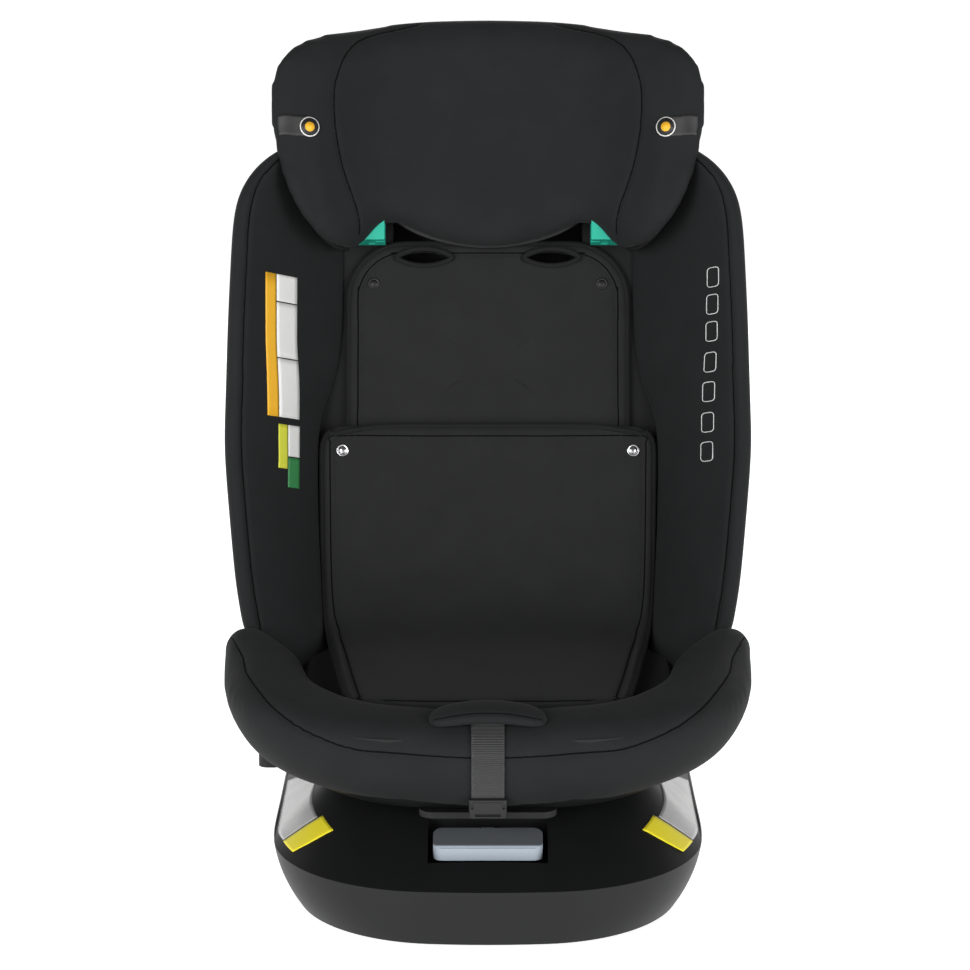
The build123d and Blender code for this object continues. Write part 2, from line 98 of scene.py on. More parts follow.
# %% [markdown]
# Black cloth needs broad, soft light, or its folds vanish. Light from straight above would pale every
# surface that faces up, so the world is bright near the horizon and dim overhead, as in a white tent with a
# dark top. Two panels in front give a direction, a third lights the back, and the floor is a wide pale
# sheet that glows a little and fills the shadows.

# %% Light and floor
def set_ramp(ramp, *stops):
    """Sets a colour ramp's two stops, each a place from 0 to 1 and a colour."""
    for element, (place, color) in zip(ramp.color_ramp.elements, stops):
        element.position = place
        element.color = (*color, 1)


scene.view_settings.view_transform = "Standard"
world = bpy.data.worlds.new("studio")
scene.world = world
world.use_nodes = True
sky = world.node_tree
direction = sky.nodes.new("ShaderNodeTexCoord")
height = sky.nodes.new("ShaderNodeSeparateXYZ")
shade = sky.nodes.new("ShaderNodeValToRGB")
set_ramp(shade, (0.1, (1, 1, 1)), (0.6, (0.14, 0.14, 0.14)))
sky.links.new(direction.outputs["Generated"], height.inputs["Vector"])
sky.links.new(height.outputs["Z"], shade.inputs["Fac"])
sky.links.new(shade.outputs["Color"], sky.nodes["Background"].inputs["Color"])
sky.nodes["Background"].inputs["Strength"].default_value = 1.05


def panel(name, place, aim, size, watts):
    """A large square lamp."""
    lamp = bpy.data.lights.new(name, "AREA")
    lamp.size = size
    lamp.energy = watts
    obj = bpy.data.objects.new(name, lamp)
    scene.collection.objects.link(obj)
    obj.location = place
    obj.rotation_euler = (Vector(aim) - Vector(place)).to_track_quat("-Z", "Y").to_euler()


panel("key_panel", (-1.5, -2.3, 1.0), (0, 0, 0.4), 1.4, 44)
panel("fill_panel", (1.8, -2.1, 0.9), (0, 0, 0.4), 1.4, 34)
panel("rear_panel", (0.2, 2.3, 1.5), (0, 0, 0.3), 1.6, 30)

bm = bmesh.new()
bmesh.ops.create_grid(bm, x_segments=1, y_segments=1, size=60)
floor_mesh = bpy.data.meshes.new("floor")
bm.to_mesh(floor_mesh)
bm.free()
floor = bpy.data.objects.new("floor", floor_mesh)
floor.location.z = -0.0002
scene.collection.objects.link(floor)
print("three panels and a floor")

# %% [markdown]
# Every finish is made from nodes. A small helper lays out the shader, adds a fine relief and returns the
# material, so that each finish is only a few numbers: how dark, how rough and how coarse its grain is.

# %% Finish helper
def relief(mat, height, depth):
    """Turns a height from 0 to 1 into relief, depth millimetres deep."""
    tree = mat.node_tree
    bump = tree.nodes.new("ShaderNodeBump")
    bump.inputs["Distance"].default_value = depth * MM
    tree.links.new(height, bump.inputs["Height"])
    tree.links.new(bump.outputs["Normal"], tree.nodes["Principled BSDF"].inputs["Normal"])


def object_place(mat):
    """The coordinates that a finish already reads."""
    return next(n for n in mat.node_tree.nodes if n.type == "TEX_COORD").outputs["Object"]


def finish(name, color, roughness, grain=0.0, grain_size=1.0, mottle=0.0, **sockets):
    """A shader with fine relief; grain is its height and grain_size its spacing, in millimetres."""
    mat = bpy.data.materials.new(name)
    mat.use_nodes = True
    tree = mat.node_tree
    shader = tree.nodes["Principled BSDF"]
    shader.inputs["Base Color"].default_value = (*color, 1)
    shader.inputs["Roughness"].default_value = roughness
    for key, value in sockets.items():
        shader.inputs[key.replace("_", " ")].default_value = value
    place = tree.nodes.new("ShaderNodeTexCoord").outputs["Object"]
    if mottle:
        cloudy = tree.nodes.new("ShaderNodeTexNoise")
        cloudy.inputs["Scale"].default_value = 35
        cloudy.inputs["Detail"].default_value = 4
        tree.links.new(place, cloudy.inputs["Vector"])
        ramp = tree.nodes.new("ShaderNodeValToRGB")
        set_ramp(ramp, (0, [c * (1 - mottle) for c in color]), (1, [c * (1 + mottle) for c in color]))
        tree.links.new(cloudy.outputs["Fac"], ramp.inputs["Fac"])
        tree.links.new(ramp.outputs["Color"], shader.inputs["Base Color"])
    if grain:
        noise = tree.nodes.new("ShaderNodeTexNoise")
        noise.inputs["Scale"].default_value = 1 / (grain_size * MM)
        noise.inputs["Detail"].default_value = 2
        tree.links.new(place, noise.inputs["Vector"])
        relief(mat, noise.outputs["Fac"], grain)
    return mat


FLOOR_GLOW = dict(Emission_Color=(1, 1, 1, 1), Emission_Strength=0.85)
floor.data.materials.append(finish("pale_floor", (0.62, 0.62, 0.62), 0.75, **FLOOR_GLOW))
print("floor finish:", floor.data.materials[0].name)

# %% [markdown]
# The covers are a fine knit. Its wales run up the cloth a little over a millimetre apart, with courses
# across them. Two crossed wave patterns give that relief, and a touch of sheen pales the edge of each pad.

# %% Knit
KNIT_SHEEN = dict(Sheen_Weight=0.03, Sheen_Roughness=0.45, Specular_IOR_Level=0.12)


def waves(mat, direction, spacing, distortion):
    """Bands across one direction, their crests spacing millimetres apart, as a height from 0 to 1."""
    wave = mat.node_tree.nodes.new("ShaderNodeTexWave")
    wave.bands_direction = direction
    wave.inputs["Scale"].default_value = pi / 10 / (spacing * MM)  # a wave's argument is 20 times its scale
    wave.inputs["Distortion"].default_value = distortion
    mat.node_tree.links.new(object_place(mat), wave.inputs["Vector"])
    return wave.outputs["Fac"]


def knit(name, color, wale=1.3):
    """Knitted polyester: wales and courses as crossed waves, broken up by a little noise."""
    mat = finish(name, color, 0.82, mottle=0.16, **KNIT_SHEEN)
    both = mat.node_tree.nodes.new("ShaderNodeMath")
    both.operation = "MULTIPLY"
    for direction, entry in zip(("X", "Z"), both.inputs):
        mat.node_tree.links.new(waves(mat, direction, wale, 3), entry)
    relief(mat, both.outputs[0], 0.05)
    return mat


cover_knit = knit("cover_knit", (0.0138, 0.0145, 0.0152))
insert_knit = knit("insert_knit", (0.0163, 0.0169, 0.0167), wale=1.0)
binding_tape = knit("binding_tape", (0.0115, 0.012, 0.012), wale=0.7)
# painted shade: the seam thread is near black, darker than the cloth, standing for the shade in seam grooves and
# ditches
seam_thread_painted_shade = finish("seam_thread_painted_shade", (0.0015, 0.0015, 0.0018), 0.9, Specular_IOR_Level=0.1)
stitch_thread = finish("stitch_thread", (0.024, 0.0245, 0.025), 0.8, Specular_IOR_Level=0.2)
print("knits made")

# %% [markdown]
# The hard parts are moulded. Black shells have a fine spark-eroded texture, the handle is smoother, and
# steel parts are zinc plated. The handle's top is painted dark grey over its light grey, as painted shade
# under the seat's lip. Each imported node gets one of these by its name.

# %% Hard finishes
def tone_by_height(mat, low, high, *stops):
    """Colours a piece by its height from low to high; each stop is a share of that and a colour."""
    tree = mat.node_tree
    parted = tree.nodes.new("ShaderNodeSeparateXYZ")
    share = tree.nodes.new("ShaderNodeMapRange")
    share.inputs["From Min"].default_value = low
    share.inputs["From Max"].default_value = high
    tones = tree.nodes.new("ShaderNodeValToRGB")
    set_ramp(tones, *stops)
    tree.links.new(object_place(mat), parted.inputs["Vector"])
    tree.links.new(parted.outputs["Z"], share.inputs["Value"])
    tree.links.new(share.outputs["Result"], tones.inputs["Fac"])
    tree.links.new(tones.outputs["Color"], tree.nodes["Principled BSDF"].inputs["Base Color"])


shell_plastic = finish("shell_plastic", (0.0064, 0.0067, 0.0070), 0.45, 0.05, 0.9, 0.12,
                       Specular_IOR_Level=0.3)
satin_plastic = finish("satin_plastic", (0.010, 0.010, 0.0105), 0.36, 0.03, 0.7)
handle_grey = finish("handle_grey", (0.36, 0.41, 0.47), 0.46, 0.03, 0.7)
handle_low, handle_high = (corner.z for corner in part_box("release_handle"))
# painted shade: the handle's top is coloured dark grey for the shadow under the seat's lip, its front light grey
HANDLE_PAINTED_SHADE = ((0.6, (0.36, 0.41, 0.47)), (0.66, (0.085, 0.093, 0.102)))
tone_by_height(handle_grey, handle_low, handle_high, *HANDLE_PAINTED_SHADE)
teal = finish("teal", (0.012, 0.40, 0.28), 0.42, 0.02, 0.8, 0.08)
zinc = finish("zinc", (0.52, 0.53, 0.55), 0.34, 0.02, 1.5, 0.1, Metallic=1)
black_steel = finish("black_steel", (0.02, 0.02, 0.021), 0.38, 0.02, 1.2)
chrome = finish("chrome", (0.42, 0.42, 0.43), 0.16, 0.004, 3, Metallic=1)
rubber = finish("rubber", (0.02, 0.02, 0.02), 0.8, 0.12, 1.6, 0.1)
foam_beads = finish("foam_beads", (0.03, 0.03, 0.031), 0.8, 0.35, 3.5, 0.15)
red_plastic = finish("red_plastic", (0.45, 0.014, 0.014), 0.35, 0.02, 0.8)
green_plastic = finish("green_plastic", (0.02, 0.26, 0.06), 0.4, 0.02, 0.8)
webbing_plain = finish("webbing_plain", (0.03, 0.03, 0.031), 0.75, 0.1, 0.6)

BY_SLOT = {
    "black_plastic": shell_plastic,
    "black_knit": cover_knit,
    "black_webbing": webbing_plain,
    "foam": foam_beads,
    "dark_steel": black_steel,
    "zinc_steel": zinc,
    "chrome_snap": chrome,
    "grey_plastic": handle_grey,
    "teal_plastic": teal,
    "red_plastic": red_plastic,
    "green_plastic": green_plastic,
    "grip_rubber": rubber,
}
for part in frame["record"]["subparts"]:
    mesh = nodes[part["node"]].data
    mesh.materials.clear()
    mesh.materials.append(BY_SLOT[part["material_slot"]])

# %% [markdown]
# Padded covers are skins over a few cross-sections. Each section is a ring of points, and the rings are
# bridged one to the next, which keeps the faces as an even net. A subdivision surface then rounds the net,
# so a ring needs only the points that its shape has.

# %% Loft helper
def shade(mesh, smooth=True):
    """Shades every face of a mesh smooth, or flat."""
    for polygon in mesh.polygons:
        polygon.use_smooth = smooth


def new_object(name, bm, material):
    """Turns a bmesh into an object at the origin, shaded smooth."""
    bmesh.ops.recalc_face_normals(bm, faces=bm.faces)
    mesh = bpy.data.meshes.new(name)
    bm.to_mesh(mesh)
    bm.free()
    mesh.materials.append(material)
    shade(mesh)
    obj = bpy.data.objects.new(name, mesh)
    scene.collection.objects.link(obj)
    return obj


def loft(name, rings, material, levels=2, weld=False):
    """A closed skin through rings with equal numbers of points. weld closes end rings whose sides meet."""
    bm = bmesh.new()
    loops = []
    for ring in rings:
        verts = [bm.verts.new(p) for p in ring]
        loops.append([bm.edges.new(pair) for pair in zip(verts, verts[1:] + verts[:1])])
    for near, far in zip(loops, loops[1:]):
        bmesh.ops.bridge_loops(bm, edges=near + far)
    if weld:
        bmesh.ops.remove_doubles(bm, verts=bm.verts, dist=0.02 * MM)
    else:
        for end in (loops[0], loops[-1]):
            bmesh.ops.contextual_create(bm, geom=end)
    obj = new_object(name, bm, material)
    if levels:
        smooth = obj.modifiers.new("round", "SUBSURF")
        smooth.levels = smooth.render_levels = levels
        bake_modifiers(obj)
    return obj


def bake_modifiers(obj):
    """Applies the modifiers, so that the mesh is the final one."""
    bpy.context.view_layer.update()
    baked = bpy.data.meshes.new_from_object(obj.evaluated_get(bpy.context.evaluated_depsgraph_get()))
    old = obj.data
    obj.modifiers.clear()
    obj.data = baked
    bpy.data.meshes.remove(old)
    shade(baked)
    return obj


def carve(obj, cutters):
    """Cuts the cutters' shapes out of a piece, and removes the cutters."""
    for cutter in cutters:
        cut = obj.modifiers.new("cut", "BOOLEAN")
        cut.object = cutter
        cut.operation = "DIFFERENCE"
        cut.solver = "EXACT"
        bake_modifiers(obj)
        bpy.data.objects.remove(cutter)


def mix(a, b, t):
    return a + (b - a) * t


def corner_cut(radius, left):
    """How far a round corner draws an edge in, at a distance left before the edge ends."""
    return radius - sqrt(max(0.0, radius**2 - max(0.0, radius - left) ** 2))


def ease(t):
    """0 to 1 with a soft start and end, and flat outside."""
    t = min(1.0, max(0.0, t))
    return t * t * (3 - 2 * t)


def through(table, at):
    """Reads a value from a short table of (place, value) pairs, straight between them."""
    if at <= table[0][0]:
        return table[0][1]
    for (a, low), (b, high) in zip(table, table[1:]):
        if at <= b:
            return mix(low, high, (at - a) / (b - a))
    return table[-1][1]


def bend(table, at):
    """Reads a value from a short table as a smooth curve through its points."""
    if at <= table[0][0] or at >= table[-1][0]:
        return through(table, at)
    place = next(k for k in range(1, len(table)) if at <= table[k][0])
    (a, low), (b, high) = table[place - 1], table[place]

    def slope(k):
        before, after = table[max(0, k - 1)], table[min(len(table) - 1, k + 1)]
        return (after[1] - before[1]) / (after[0] - before[0])

    t, span = (at - a) / (b - a), b - a
    leave, arrive = slope(place - 1) * span, slope(place) * span
    return (
        low * (1 + 2 * t) * (1 - t) ** 2 + leave * t * (1 - t) ** 2
        + high * t * t * (3 - 2 * t) - arrive * t * t * (1 - t)
    )


print("loft helper ready")

# %% [markdown]
# Foam pushes a cover out until the cloth is taut, which no drawn section quite gives. So each pad is
# remeshed evenly and blown up a little as cloth, with gravity off, and no point may move further than a
# cap. Then the net is relaxed, which takes out its small steps, and subdivided once.

# %% Swelling
SWELL_VOXEL, SWELL_PRESSURE, SWELL_CAP = 5.0, 4.0, 2.5  # the net's spacing and the cap in millimetres
CLOTH_STEPS, RELAX_PASSES = 20, 5


def swell(obj):
    """Blows a piece up as cloth under pressure, then relaxes and refines its net."""
    remesh = obj.modifiers.new("remesh", "REMESH")
    remesh.mode = "VOXEL"
    remesh.voxel_size = SWELL_VOXEL * MM
    bake_modifiers(obj)
    rest = [v.co.copy() for v in obj.data.vertices]
    cloth = obj.modifiers.new("cloth", "CLOTH")
    cloth.settings.use_pressure = True
    cloth.settings.uniform_pressure_force = SWELL_PRESSURE
    cloth.settings.effector_weights.gravity = 0
    for number in range(1, CLOTH_STEPS + 1):
        scene.frame_set(number)
    bake_modifiers(obj)
    scene.frame_set(1)
    for vertex, start in zip(obj.data.vertices, rest):
        moved = vertex.co - start
        if moved.length > SWELL_CAP * MM:
            vertex.co = start + moved.normalized() * SWELL_CAP * MM
    bm = bmesh.new()
    bm.from_mesh(obj.data)
    for _ in range(RELAX_PASSES):
        bmesh.ops.smooth_vert(bm, verts=bm.verts, factor=0.5, use_axis_x=True, use_axis_y=True,
                              use_axis_z=True)
    bm.to_mesh(obj.data)
    bm.free()
    finer = obj.modifiers.new("finer", "SUBSURF")
    finer.levels = finer.render_levels = 1
    return bake_modifiers(obj)


def dress(obj, body, slot, *replaced, fill=None):
    """Lets a piece ride on its body and hides what it stands for; its slot is not used."""
    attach(obj, body)
    if replaced:
        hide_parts(*replaced)
    return obj


print("swelling", "on")

# %% [markdown]
# A seam pulls its cloth inwards and stands as a fine ridge in the valley. A line of points near a pad is
# made into a smooth curve and dropped onto the nearest cloth. The cloth along it is pressed in, and a thin
# cord or a row of stitches is laid in the groove. The cord is near black, darker than the cloth, so its
# colour is painted shade of the groove.

# %% Seam helpers
def smooth_line(points, step=3.0, closed=False):
    """Evenly spaced points on a smooth curve through a few points."""
    ends = (points[-1], points[0]) if closed else (points[0], points[-1])
    padded = [ends[0], *points, ends[1]] + ([points[1]] if closed else [])
    line = []
    for a, b, c, d in zip(padded, padded[1:], padded[2:], padded[3:]):
        count = max(1, round((c - b).length / (step * MM)))
        for k in range(count):
            t = k / count
            square, cube = 2 * a - 5 * b + 4 * c - d, 3 * b - a - 3 * c + d
            line.append(0.5 * (2 * b + (c - a) * t + square * t**2 + cube * t**3))
    return line if closed else line + [points[-1]]


def surface(obj):
    """A search tree over a piece."""
    mesh = obj.data
    return BVHTree.FromPolygons([v.co for v in mesh.vertices], [p.vertices for p in mesh.polygons])


def laid(tree, line, lift=0.0):
    """The line dropped onto the nearest cloth: (place, normal) pairs."""
    found = [tree.find_nearest(p) for p in line]
    return [(place + normal * lift * MM, normal) for place, normal, _, _ in found]


PRESS_WIDTH = 2.2  # of the soft shoulder on each side of a seam


def press(obj, line, depth):
    """Presses the cloth in along a line, with a soft shoulder."""
    tree = KDTree(len(line))
    for index, point in enumerate(line):
        tree.insert(point, index)
    tree.balance()
    for vertex, normal in [(v, v.normal.copy()) for v in obj.data.vertices]:
        away = tree.find(vertex.co)[2] / (PRESS_WIDTH * MM)
        if away < 2.2:  # beyond that the shoulder is under a hundredth of the depth
            vertex.co -= normal * depth * MM * exp(-(away**2))


def cords(name, lines, radius, material, closed=False):
    """Thin round cords along lines of points, as one mesh."""
    curve = bpy.data.curves.new(name, "CURVE")
    curve.dimensions = "3D"
    curve.bevel_depth = radius * MM
    curve.bevel_resolution = 2
    curve.use_fill_caps = True
    for line in lines:
        spline = curve.splines.new("POLY")
        spline.points.add(len(line) - 1)
        for point, place in zip(spline.points, line):
            point.co = (*place, 1)
        spline.use_cyclic_u = closed
    maker = bpy.data.objects.new(name + "_curve", curve)
    scene.collection.objects.link(maker)
    bpy.context.view_layer.update()
    mesh = bpy.data.meshes.new_from_object(maker.evaluated_get(bpy.context.evaluated_depsgraph_get()))
    bpy.data.objects.remove(maker)
    bpy.data.curves.remove(curve)
    mesh.name = name
    mesh.materials.clear()
    mesh.materials.append(material)
    shade(mesh)
    obj = bpy.data.objects.new(name, mesh)
    scene.collection.objects.link(obj)
    return obj


STITCH_RADIUS = 0.38


def stitches(name, lines, pitch=4.2, length=2.9):
    """Rows of short stitches along laid lines, as one mesh."""
    bm = bmesh.new()
    for line in lines:
        travelled = 0.0
        for (a, normal), (b, _) in zip(line, line[1:]):
            travelled += (b - a).length / MM
            if travelled < pitch:
                continue
            travelled = 0.0
            along = (b - a).normalized()
            across = normal.cross(along).normalized()
            turn = Matrix((along, across, along.cross(across))).transposed().to_4x4()
            size = Matrix.Diagonal((length / 2 / STITCH_RADIUS, 1, 1, 1))
            place = Matrix.Translation((a + b) / 2) @ turn @ size
            bmesh.ops.create_icosphere(bm, subdivisions=1, radius=STITCH_RADIUS * MM, matrix=place)
    return new_object(name, bm, stitch_thread)


def places(pairs):
    return [place for place, _ in pairs]


def sew(obj, name, body, line, depth, radius):
    """Presses a pad along a line and lays a thread in the groove; its near-black colour is painted shade."""
    on_cloth = places(laid(surface(obj), line))
    press(obj, on_cloth, depth)
    obj.data.update()
    sunk = places(laid(surface(obj), on_cloth, -0.1))
    dress(cords(name, [sunk], radius, seam_thread_painted_shade), body, "black_knit")


print("seam helpers ready")

# %% [markdown]
# The wings are deep pads that wrap the side of the shell. A section runs from the inner corner, out over
# the face to the tip, round it, and back behind the shell's edge. Towards the top the outline turns in as a
# quarter circle, and the tip rolls back with it.

# %% Wings
WING_TOP, WING_CORNER = 412, 75
SHELL_EDGE = 80
INSERT_BEND = 105  # radius of the lower insert's curve from the backrest to the seat
INSERT_TOP = 160  # above this the wing's inner edge draws in to the narrower upper insert
# Each table gives (s, value): the outermost x, the tip's d and the inner edge's x.
WING_OUT = [(-62, 148), (-42, 180), (-20, 205), (30, 214), (139, 224), (256, 221), (345, 217), (412, 215)]
WING_TIP = [(-62, 84), (-42, 98), (-20, 104), (139, 108), (256, 113), (412, 118)]
WING_IN = [(-62, 134), (-42, 135.5), (-20, 137), (5, 140), (30, 142.5), (85, 145.5), (160, 146.5)]


def wing_ring(side, s):
    """One section of a wing, s millimetres up the backrest."""
    inner = mix(bend(WING_IN, s), 125, ease((s - INSERT_TOP) / 85))
    outer = through(WING_OUT, s) - corner_cut(WING_CORNER, WING_TOP - s)
    outer = max(outer, inner + 26)
    rolled = max(0.0, s - (WING_TOP - WING_CORNER)) / WING_CORNER
    tip = through(WING_TIP, s) - 30 * rolled**2
    crown = mix(5, 1, ease((s - 190) / 60))
    turned_in = min(80, max(0, 67 - s))  # how far into the insert's curve
    rise = mix(15 + corner_cut(INSERT_BEND, INSERT_BEND - turned_in), 0.8, ease((s - INSERT_TOP) / 60))
    low, high = Vector((inner, rise)), Vector((outer - 16, tip - 5))
    face = [low.lerp(high, t) + Vector((-0.82, 0.57)) * crown * sin(pi * t) for t in (0.12, 0.35, 0.6, 0.85)]
    round_tip = [(outer - 9, tip + 0.5), (outer - 2, tip - 4), (outer, tip - 13)]
    wrap = [(outer - 0.5, tip - 22), (outer - 2.5, SHELL_EDGE + 1.5), (outer - 10, SHELL_EDGE)]
    back = [(mix(outer - 27, inner + 22, 0.1), 2), (inner + 8, 0.4)]
    points = [tuple(low), *map(tuple, face), (outer - 16, tip - 5), *round_tip, *wrap, *back]
    return [on_back(side * x, s, d) for x, d in points]


WING_SEAM = (-20, 10, 50, 100, 150, 200, 250, 300, 335, 360, 380, 396, 405)
WING_STATIONS = (-62, -42, -20, 5, 30, 85, 139, 170, 195, 220, 256, 300, 337, 362, 384, 399, 408, 411)
wings = {}
for side, name in ((-1, "left"), (1, "right")):
    wing = loft(f"wing_pad_{name}", [wing_ring(side, s) for s in WING_STATIONS], cover_knit, levels=3)
    wings[name] = dress(wing, "seat", "black_knit", f"wing_{name}", fill=0.7)
    edge = smooth_line([wing_ring(side, s)[5] for s in WING_SEAM])
    sew(wing, f"wing_seam_{name}", "seat", edge, depth=1.5, radius=0.6)
print("wings:", [len(w.data.polygons) for w in wings.values()], "faces")

# %% [markdown]
# The bumper is one padded rim: armrest, front and armrest. In plan it follows the bowl of the seat, whose
# outline at each height is a bowed front, two big corners and straight sides. A station is a place along
# that outline, and the section there runs from the lower lip, out and up the bowl, over the rim and down
# inside.

# %% Bumper outline
# Height, then the outline's half width, its front in the middle and its corner radius.
BOWL = [(95, 155, -253, 106), (112, 189, -262.5, 126), (138, 210.5, -267.5, 140), (165, 220.5, -268.5, 149),
        (212, 225, -263.5, 152)]
BOWL_BOW, WELL_BOW = 18, 10  # how far the middle of the front stands ahead
WELL = (150, -200, 96)  # half width, front and corner radius
RIM_FRONT_Y, RIM_FRONT, RIM_SLOPE = -262, 166, 0.1104


def outline_at(station, half, front, corner, bow):
    """A plan point for a station: ('front', share), ('corner', degrees) or ('side', y)."""
    kind, value = station
    shoulder = front + bow * (1 - corner / half / 2)
    if kind == "front":
        x = value * (half - corner)
        return Vector((x, mix(front, shoulder, value**2)))
    if kind == "corner":
        turn = radians(value)
        return Vector((half - corner + corner * sin(turn), shoulder + corner * (1 - cos(turn))))
    return Vector((half, value))


def bowl(station, z, inset=0.0):
    """The outside of the bowl at a height, moved inwards by inset."""
    half, front, corner = (through([(row[0], row[k]) for row in BOWL], z) for k in (1, 2, 3))
    return outline_at(station, half - inset, front + inset, max(20, corner - inset), BOWL_BOW)


def well(station, grow=0.0, flare=0.0):
    """The inside of the seat; the armrests lean outwards towards their tips."""
    half, front, corner = WELL
    point = outline_at(station, half + grow, front - grow, corner + grow, WELL_BOW)
    lean = ease((point.y + 105) / 55) * 36 * flare
    return Vector((point.x + lean, point.y))


def rim_height(y):
    return RIM_FRONT + (y - RIM_FRONT_Y) * RIM_SLOPE


print("rim:", RIM_FRONT, "mm high in front,", round(rim_height(0)), "mm beside the swivel axis")

# %% [markdown]
# A section of the bumper has sixteen points. Most stand on the bowl or on the well at some height and
# inset, so the section turns by itself as the station goes round the corner. Behind the armrest's tip the
# pad drops to a tongue that passes under the wide part of the wing.

# %% Bumper pad
def bumper_ring(side, station):
    """One section of the bumper."""
    y = bowl(station, 150).y
    top = rim_height(y)
    tip = ease((y + 50) / 14)  # 0 along the rim, 1 behind the armrest's tip
    square = ease((y + 120) / 60)  # the rim's outer shoulder is fuller towards the armrests' tips
    under_wing = 165 + (-22 - (y - 60) * UP_BACK.y) / UP_BACK.z  # where s is -22
    top = mix(top, min(top, under_wing) - 1, tip)
    low = min(157, top - 9)
    waist = min(146, top - 14)
    points = [
        (bowl(station, 99, 9), 99),
        (bowl(station, 98, 2), 97.6),
        (bowl(station, 104), 104),
        (bowl(station, 116), 116),
        (bowl(station, 130), 130),
        (bowl(station, waist), waist),
        (bowl(station, top - 11, mix(2, 0, square)), top - 11),
        (bowl(station, top - 4, mix(10, 3, square)), top - 4 + 2 * square),
        (bowl(station, top, mix(24, 13, square)), top + 5 * square),
        (well(station, 12, 1), top + 1 + 5 * square),
        (well(station, 3, 1), top - 3 + 3 * square),
        (well(station, 1, 0.6), mix(top, low, 0.55)),
        (well(station, 0, 0.1), low),
        (bowl(station, low, 26), low - 1),
        (bowl(station, low - 4, 12), low - 2),
        (bowl(station, 120, 12), 120),
    ]
    return [Vector((side * p.x * MM, p.y * MM, z * MM)) for p, z in points]


FRONT_STATIONS = [("front", share) for share in (0, 0.35, 0.7)]
CORNER_STATIONS = [("corner", angle) for angle in (0, 15, 30, 45, 60, 75, 90)]
SIDE_STATIONS = [("side", y) for y in (-75, -60, -51, -46, -41, -36, -20, 15, 50, 69)]
HALF_RIM = FRONT_STATIONS + CORNER_STATIONS + SIDE_STATIONS
rim_rings = [bumper_ring(-1, station) for station in HALF_RIM[:0:-1]]
rim_rings += [bumper_ring(1, station) for station in HALF_RIM]
bumper = loft("bumper_pad", rim_rings, cover_knit, levels=3)
swell(bumper)
dress(bumper, "seat", "black_knit", "front_bumper", fill=0.8)


# (number of the station, how many of the section's points the seam is above the fifth)
SEAM_UP = [(0, 0.95), (2.5, 1), (3.8, 1.1), (4.6, 1.6), (5.4, 2.45), (6.1, 3.15), (7, 3.65), (8, 3.8),
           (9, 3.75), (10, 3.5), (11, 3.1)]


def bumper_seam(side):
    """The long seam, low round the front of the bowl and over the shoulder of the rim at its corners."""
    line = []
    for index, station in enumerate(FRONT_STATIONS + CORNER_STATIONS + SIDE_STATIONS[:2]):
        ring = bumper_ring(side, station)
        up = bend(SEAM_UP, index)
        line.append(ring[4 + int(up)].lerp(ring[5 + int(up)], up - int(up)))
    return line


seam_line = smooth_line(bumper_seam(-1)[:0:-1] + bumper_seam(1))
sew(bumper, "bumper_seam", "seat", seam_line, depth=1.3, radius=0.65)
print("bumper:", len(bumper.data.polygons), "faces")

# %% [markdown]
# The headrest is one deep cover, thick behind the head and curling forward into a lobe on each side. Its
# section is a C, given as pairs of points on the front and on the back. Seen from the front its outline is
# a rounded shield: the lower edge dips in the middle and under each lobe, and lifts between them, where the
# belt guides hang. Towards both edges the front and the back close up like an ellipse, and meet on one
# line.

# %% Headrest cover
HEAD_PAIRS = [  # across the pad: (x, d) at the front, (x, d) at the back
    ((0, 50), (0, 15.5)),
    ((30, 50), (30, 15.5)),
    ((60, 51), (60, 15.5)),
    ((86, 54), (88, 15.5)),
    ((108, 65), (107, 16.5)),
    ((126, 79), (118, 28)),
    ((144, 95), (134, 45)),
    ((160, 106.5), (150, 63)),
    ((173, 109.5), (163, 78)),
    ((184, 104), (174, 91)),
    ((188, 98.5), (186, 97)),
]
HEAD_UP = (0, 0.012, 0.045, 0.1, 0.18, 0.3, 0.42, 0.54, 0.66, 0.77, 0.86, 0.93, 0.972, 0.993, 1)
HEAD_LOW_EDGE = [(0, 319), (44, 327), (70, 337), (87, 350), (98, 340), (110, 323), (122, 316), (136, 317),
                 (152, 329), (166, 352), (178, 388), (184, 410), (188, 432)]
HEAD_HIGH_EDGE = [(0, 531), (66, 529), (96, 523), (120, 515.5), (144, 506), (160, 496.5), (172, 485),
                  (181, 470), (188, 446)]
HEAD_ROUND = 0.14  # share of the height over which each edge closes


def head_bottom(x):
    return bend(HEAD_LOW_EDGE, x)


def head_top(x):
    return bend(HEAD_HIGH_EDGE, x)


def head_ring(level):
    """One layer of the headrest, from its lower edge (0) to its upper edge (1)."""
    edge = min(level, 1 - level) / HEAD_ROUND
    full = sqrt(max(0.0, 1 - (1 - min(1, edge)) ** 2))
    front, back = [], []
    for (xf, df), (xb, db) in HEAD_PAIRS:
        s = mix(head_bottom((xf + xb) / 2), head_top((xf + xb) / 2), level)
        middle = Vector(((xf + xb) / 2, s, (df + db) / 2))
        for x, d, line in ((xf, df, front), (xb, db, back)):
            line.append(middle.lerp(Vector((x, s, d)), full))
    half = front + back[::-1]
    ring = half + [Vector((-p.x, p.y, p.z)) for p in half[-2:0:-1]]
    return [on_back(*p) for p in ring]


head = loft("headrest_cover", [head_ring(level) for level in HEAD_UP], cover_knit, levels=3, weld=True)
swell(head)
dress(head, "headrest", "black_knit", "head_pad", "head_lobe_left", "head_lobe_right", fill=0.75)

PANEL_SEAM = [(60, 518, 40), (97, 509, 52), (123, 489, 66), (135.5, 462, 78), (136, 425, 80), (129, 385, 74),
              (119, 350, 60), (114, 334, 56)]
for side, name in ((-1, "left"), (1, "right")):
    line = smooth_line([on_back(side * x, s, d) for x, s, d in PANEL_SEAM])
    sew(head, f"headrest_seam_{name}", "headrest", line, depth=1.4, radius=0.6)
print("headrest:", len(head.data.polygons), "faces")

# %% [markdown]
# Two thin pads button over the backrest. Seen from the front each is a rectangle with round corners, so its
# rings are that outline at growing insets, from the back edge, round the bound edge, to a slightly crowned
# face.

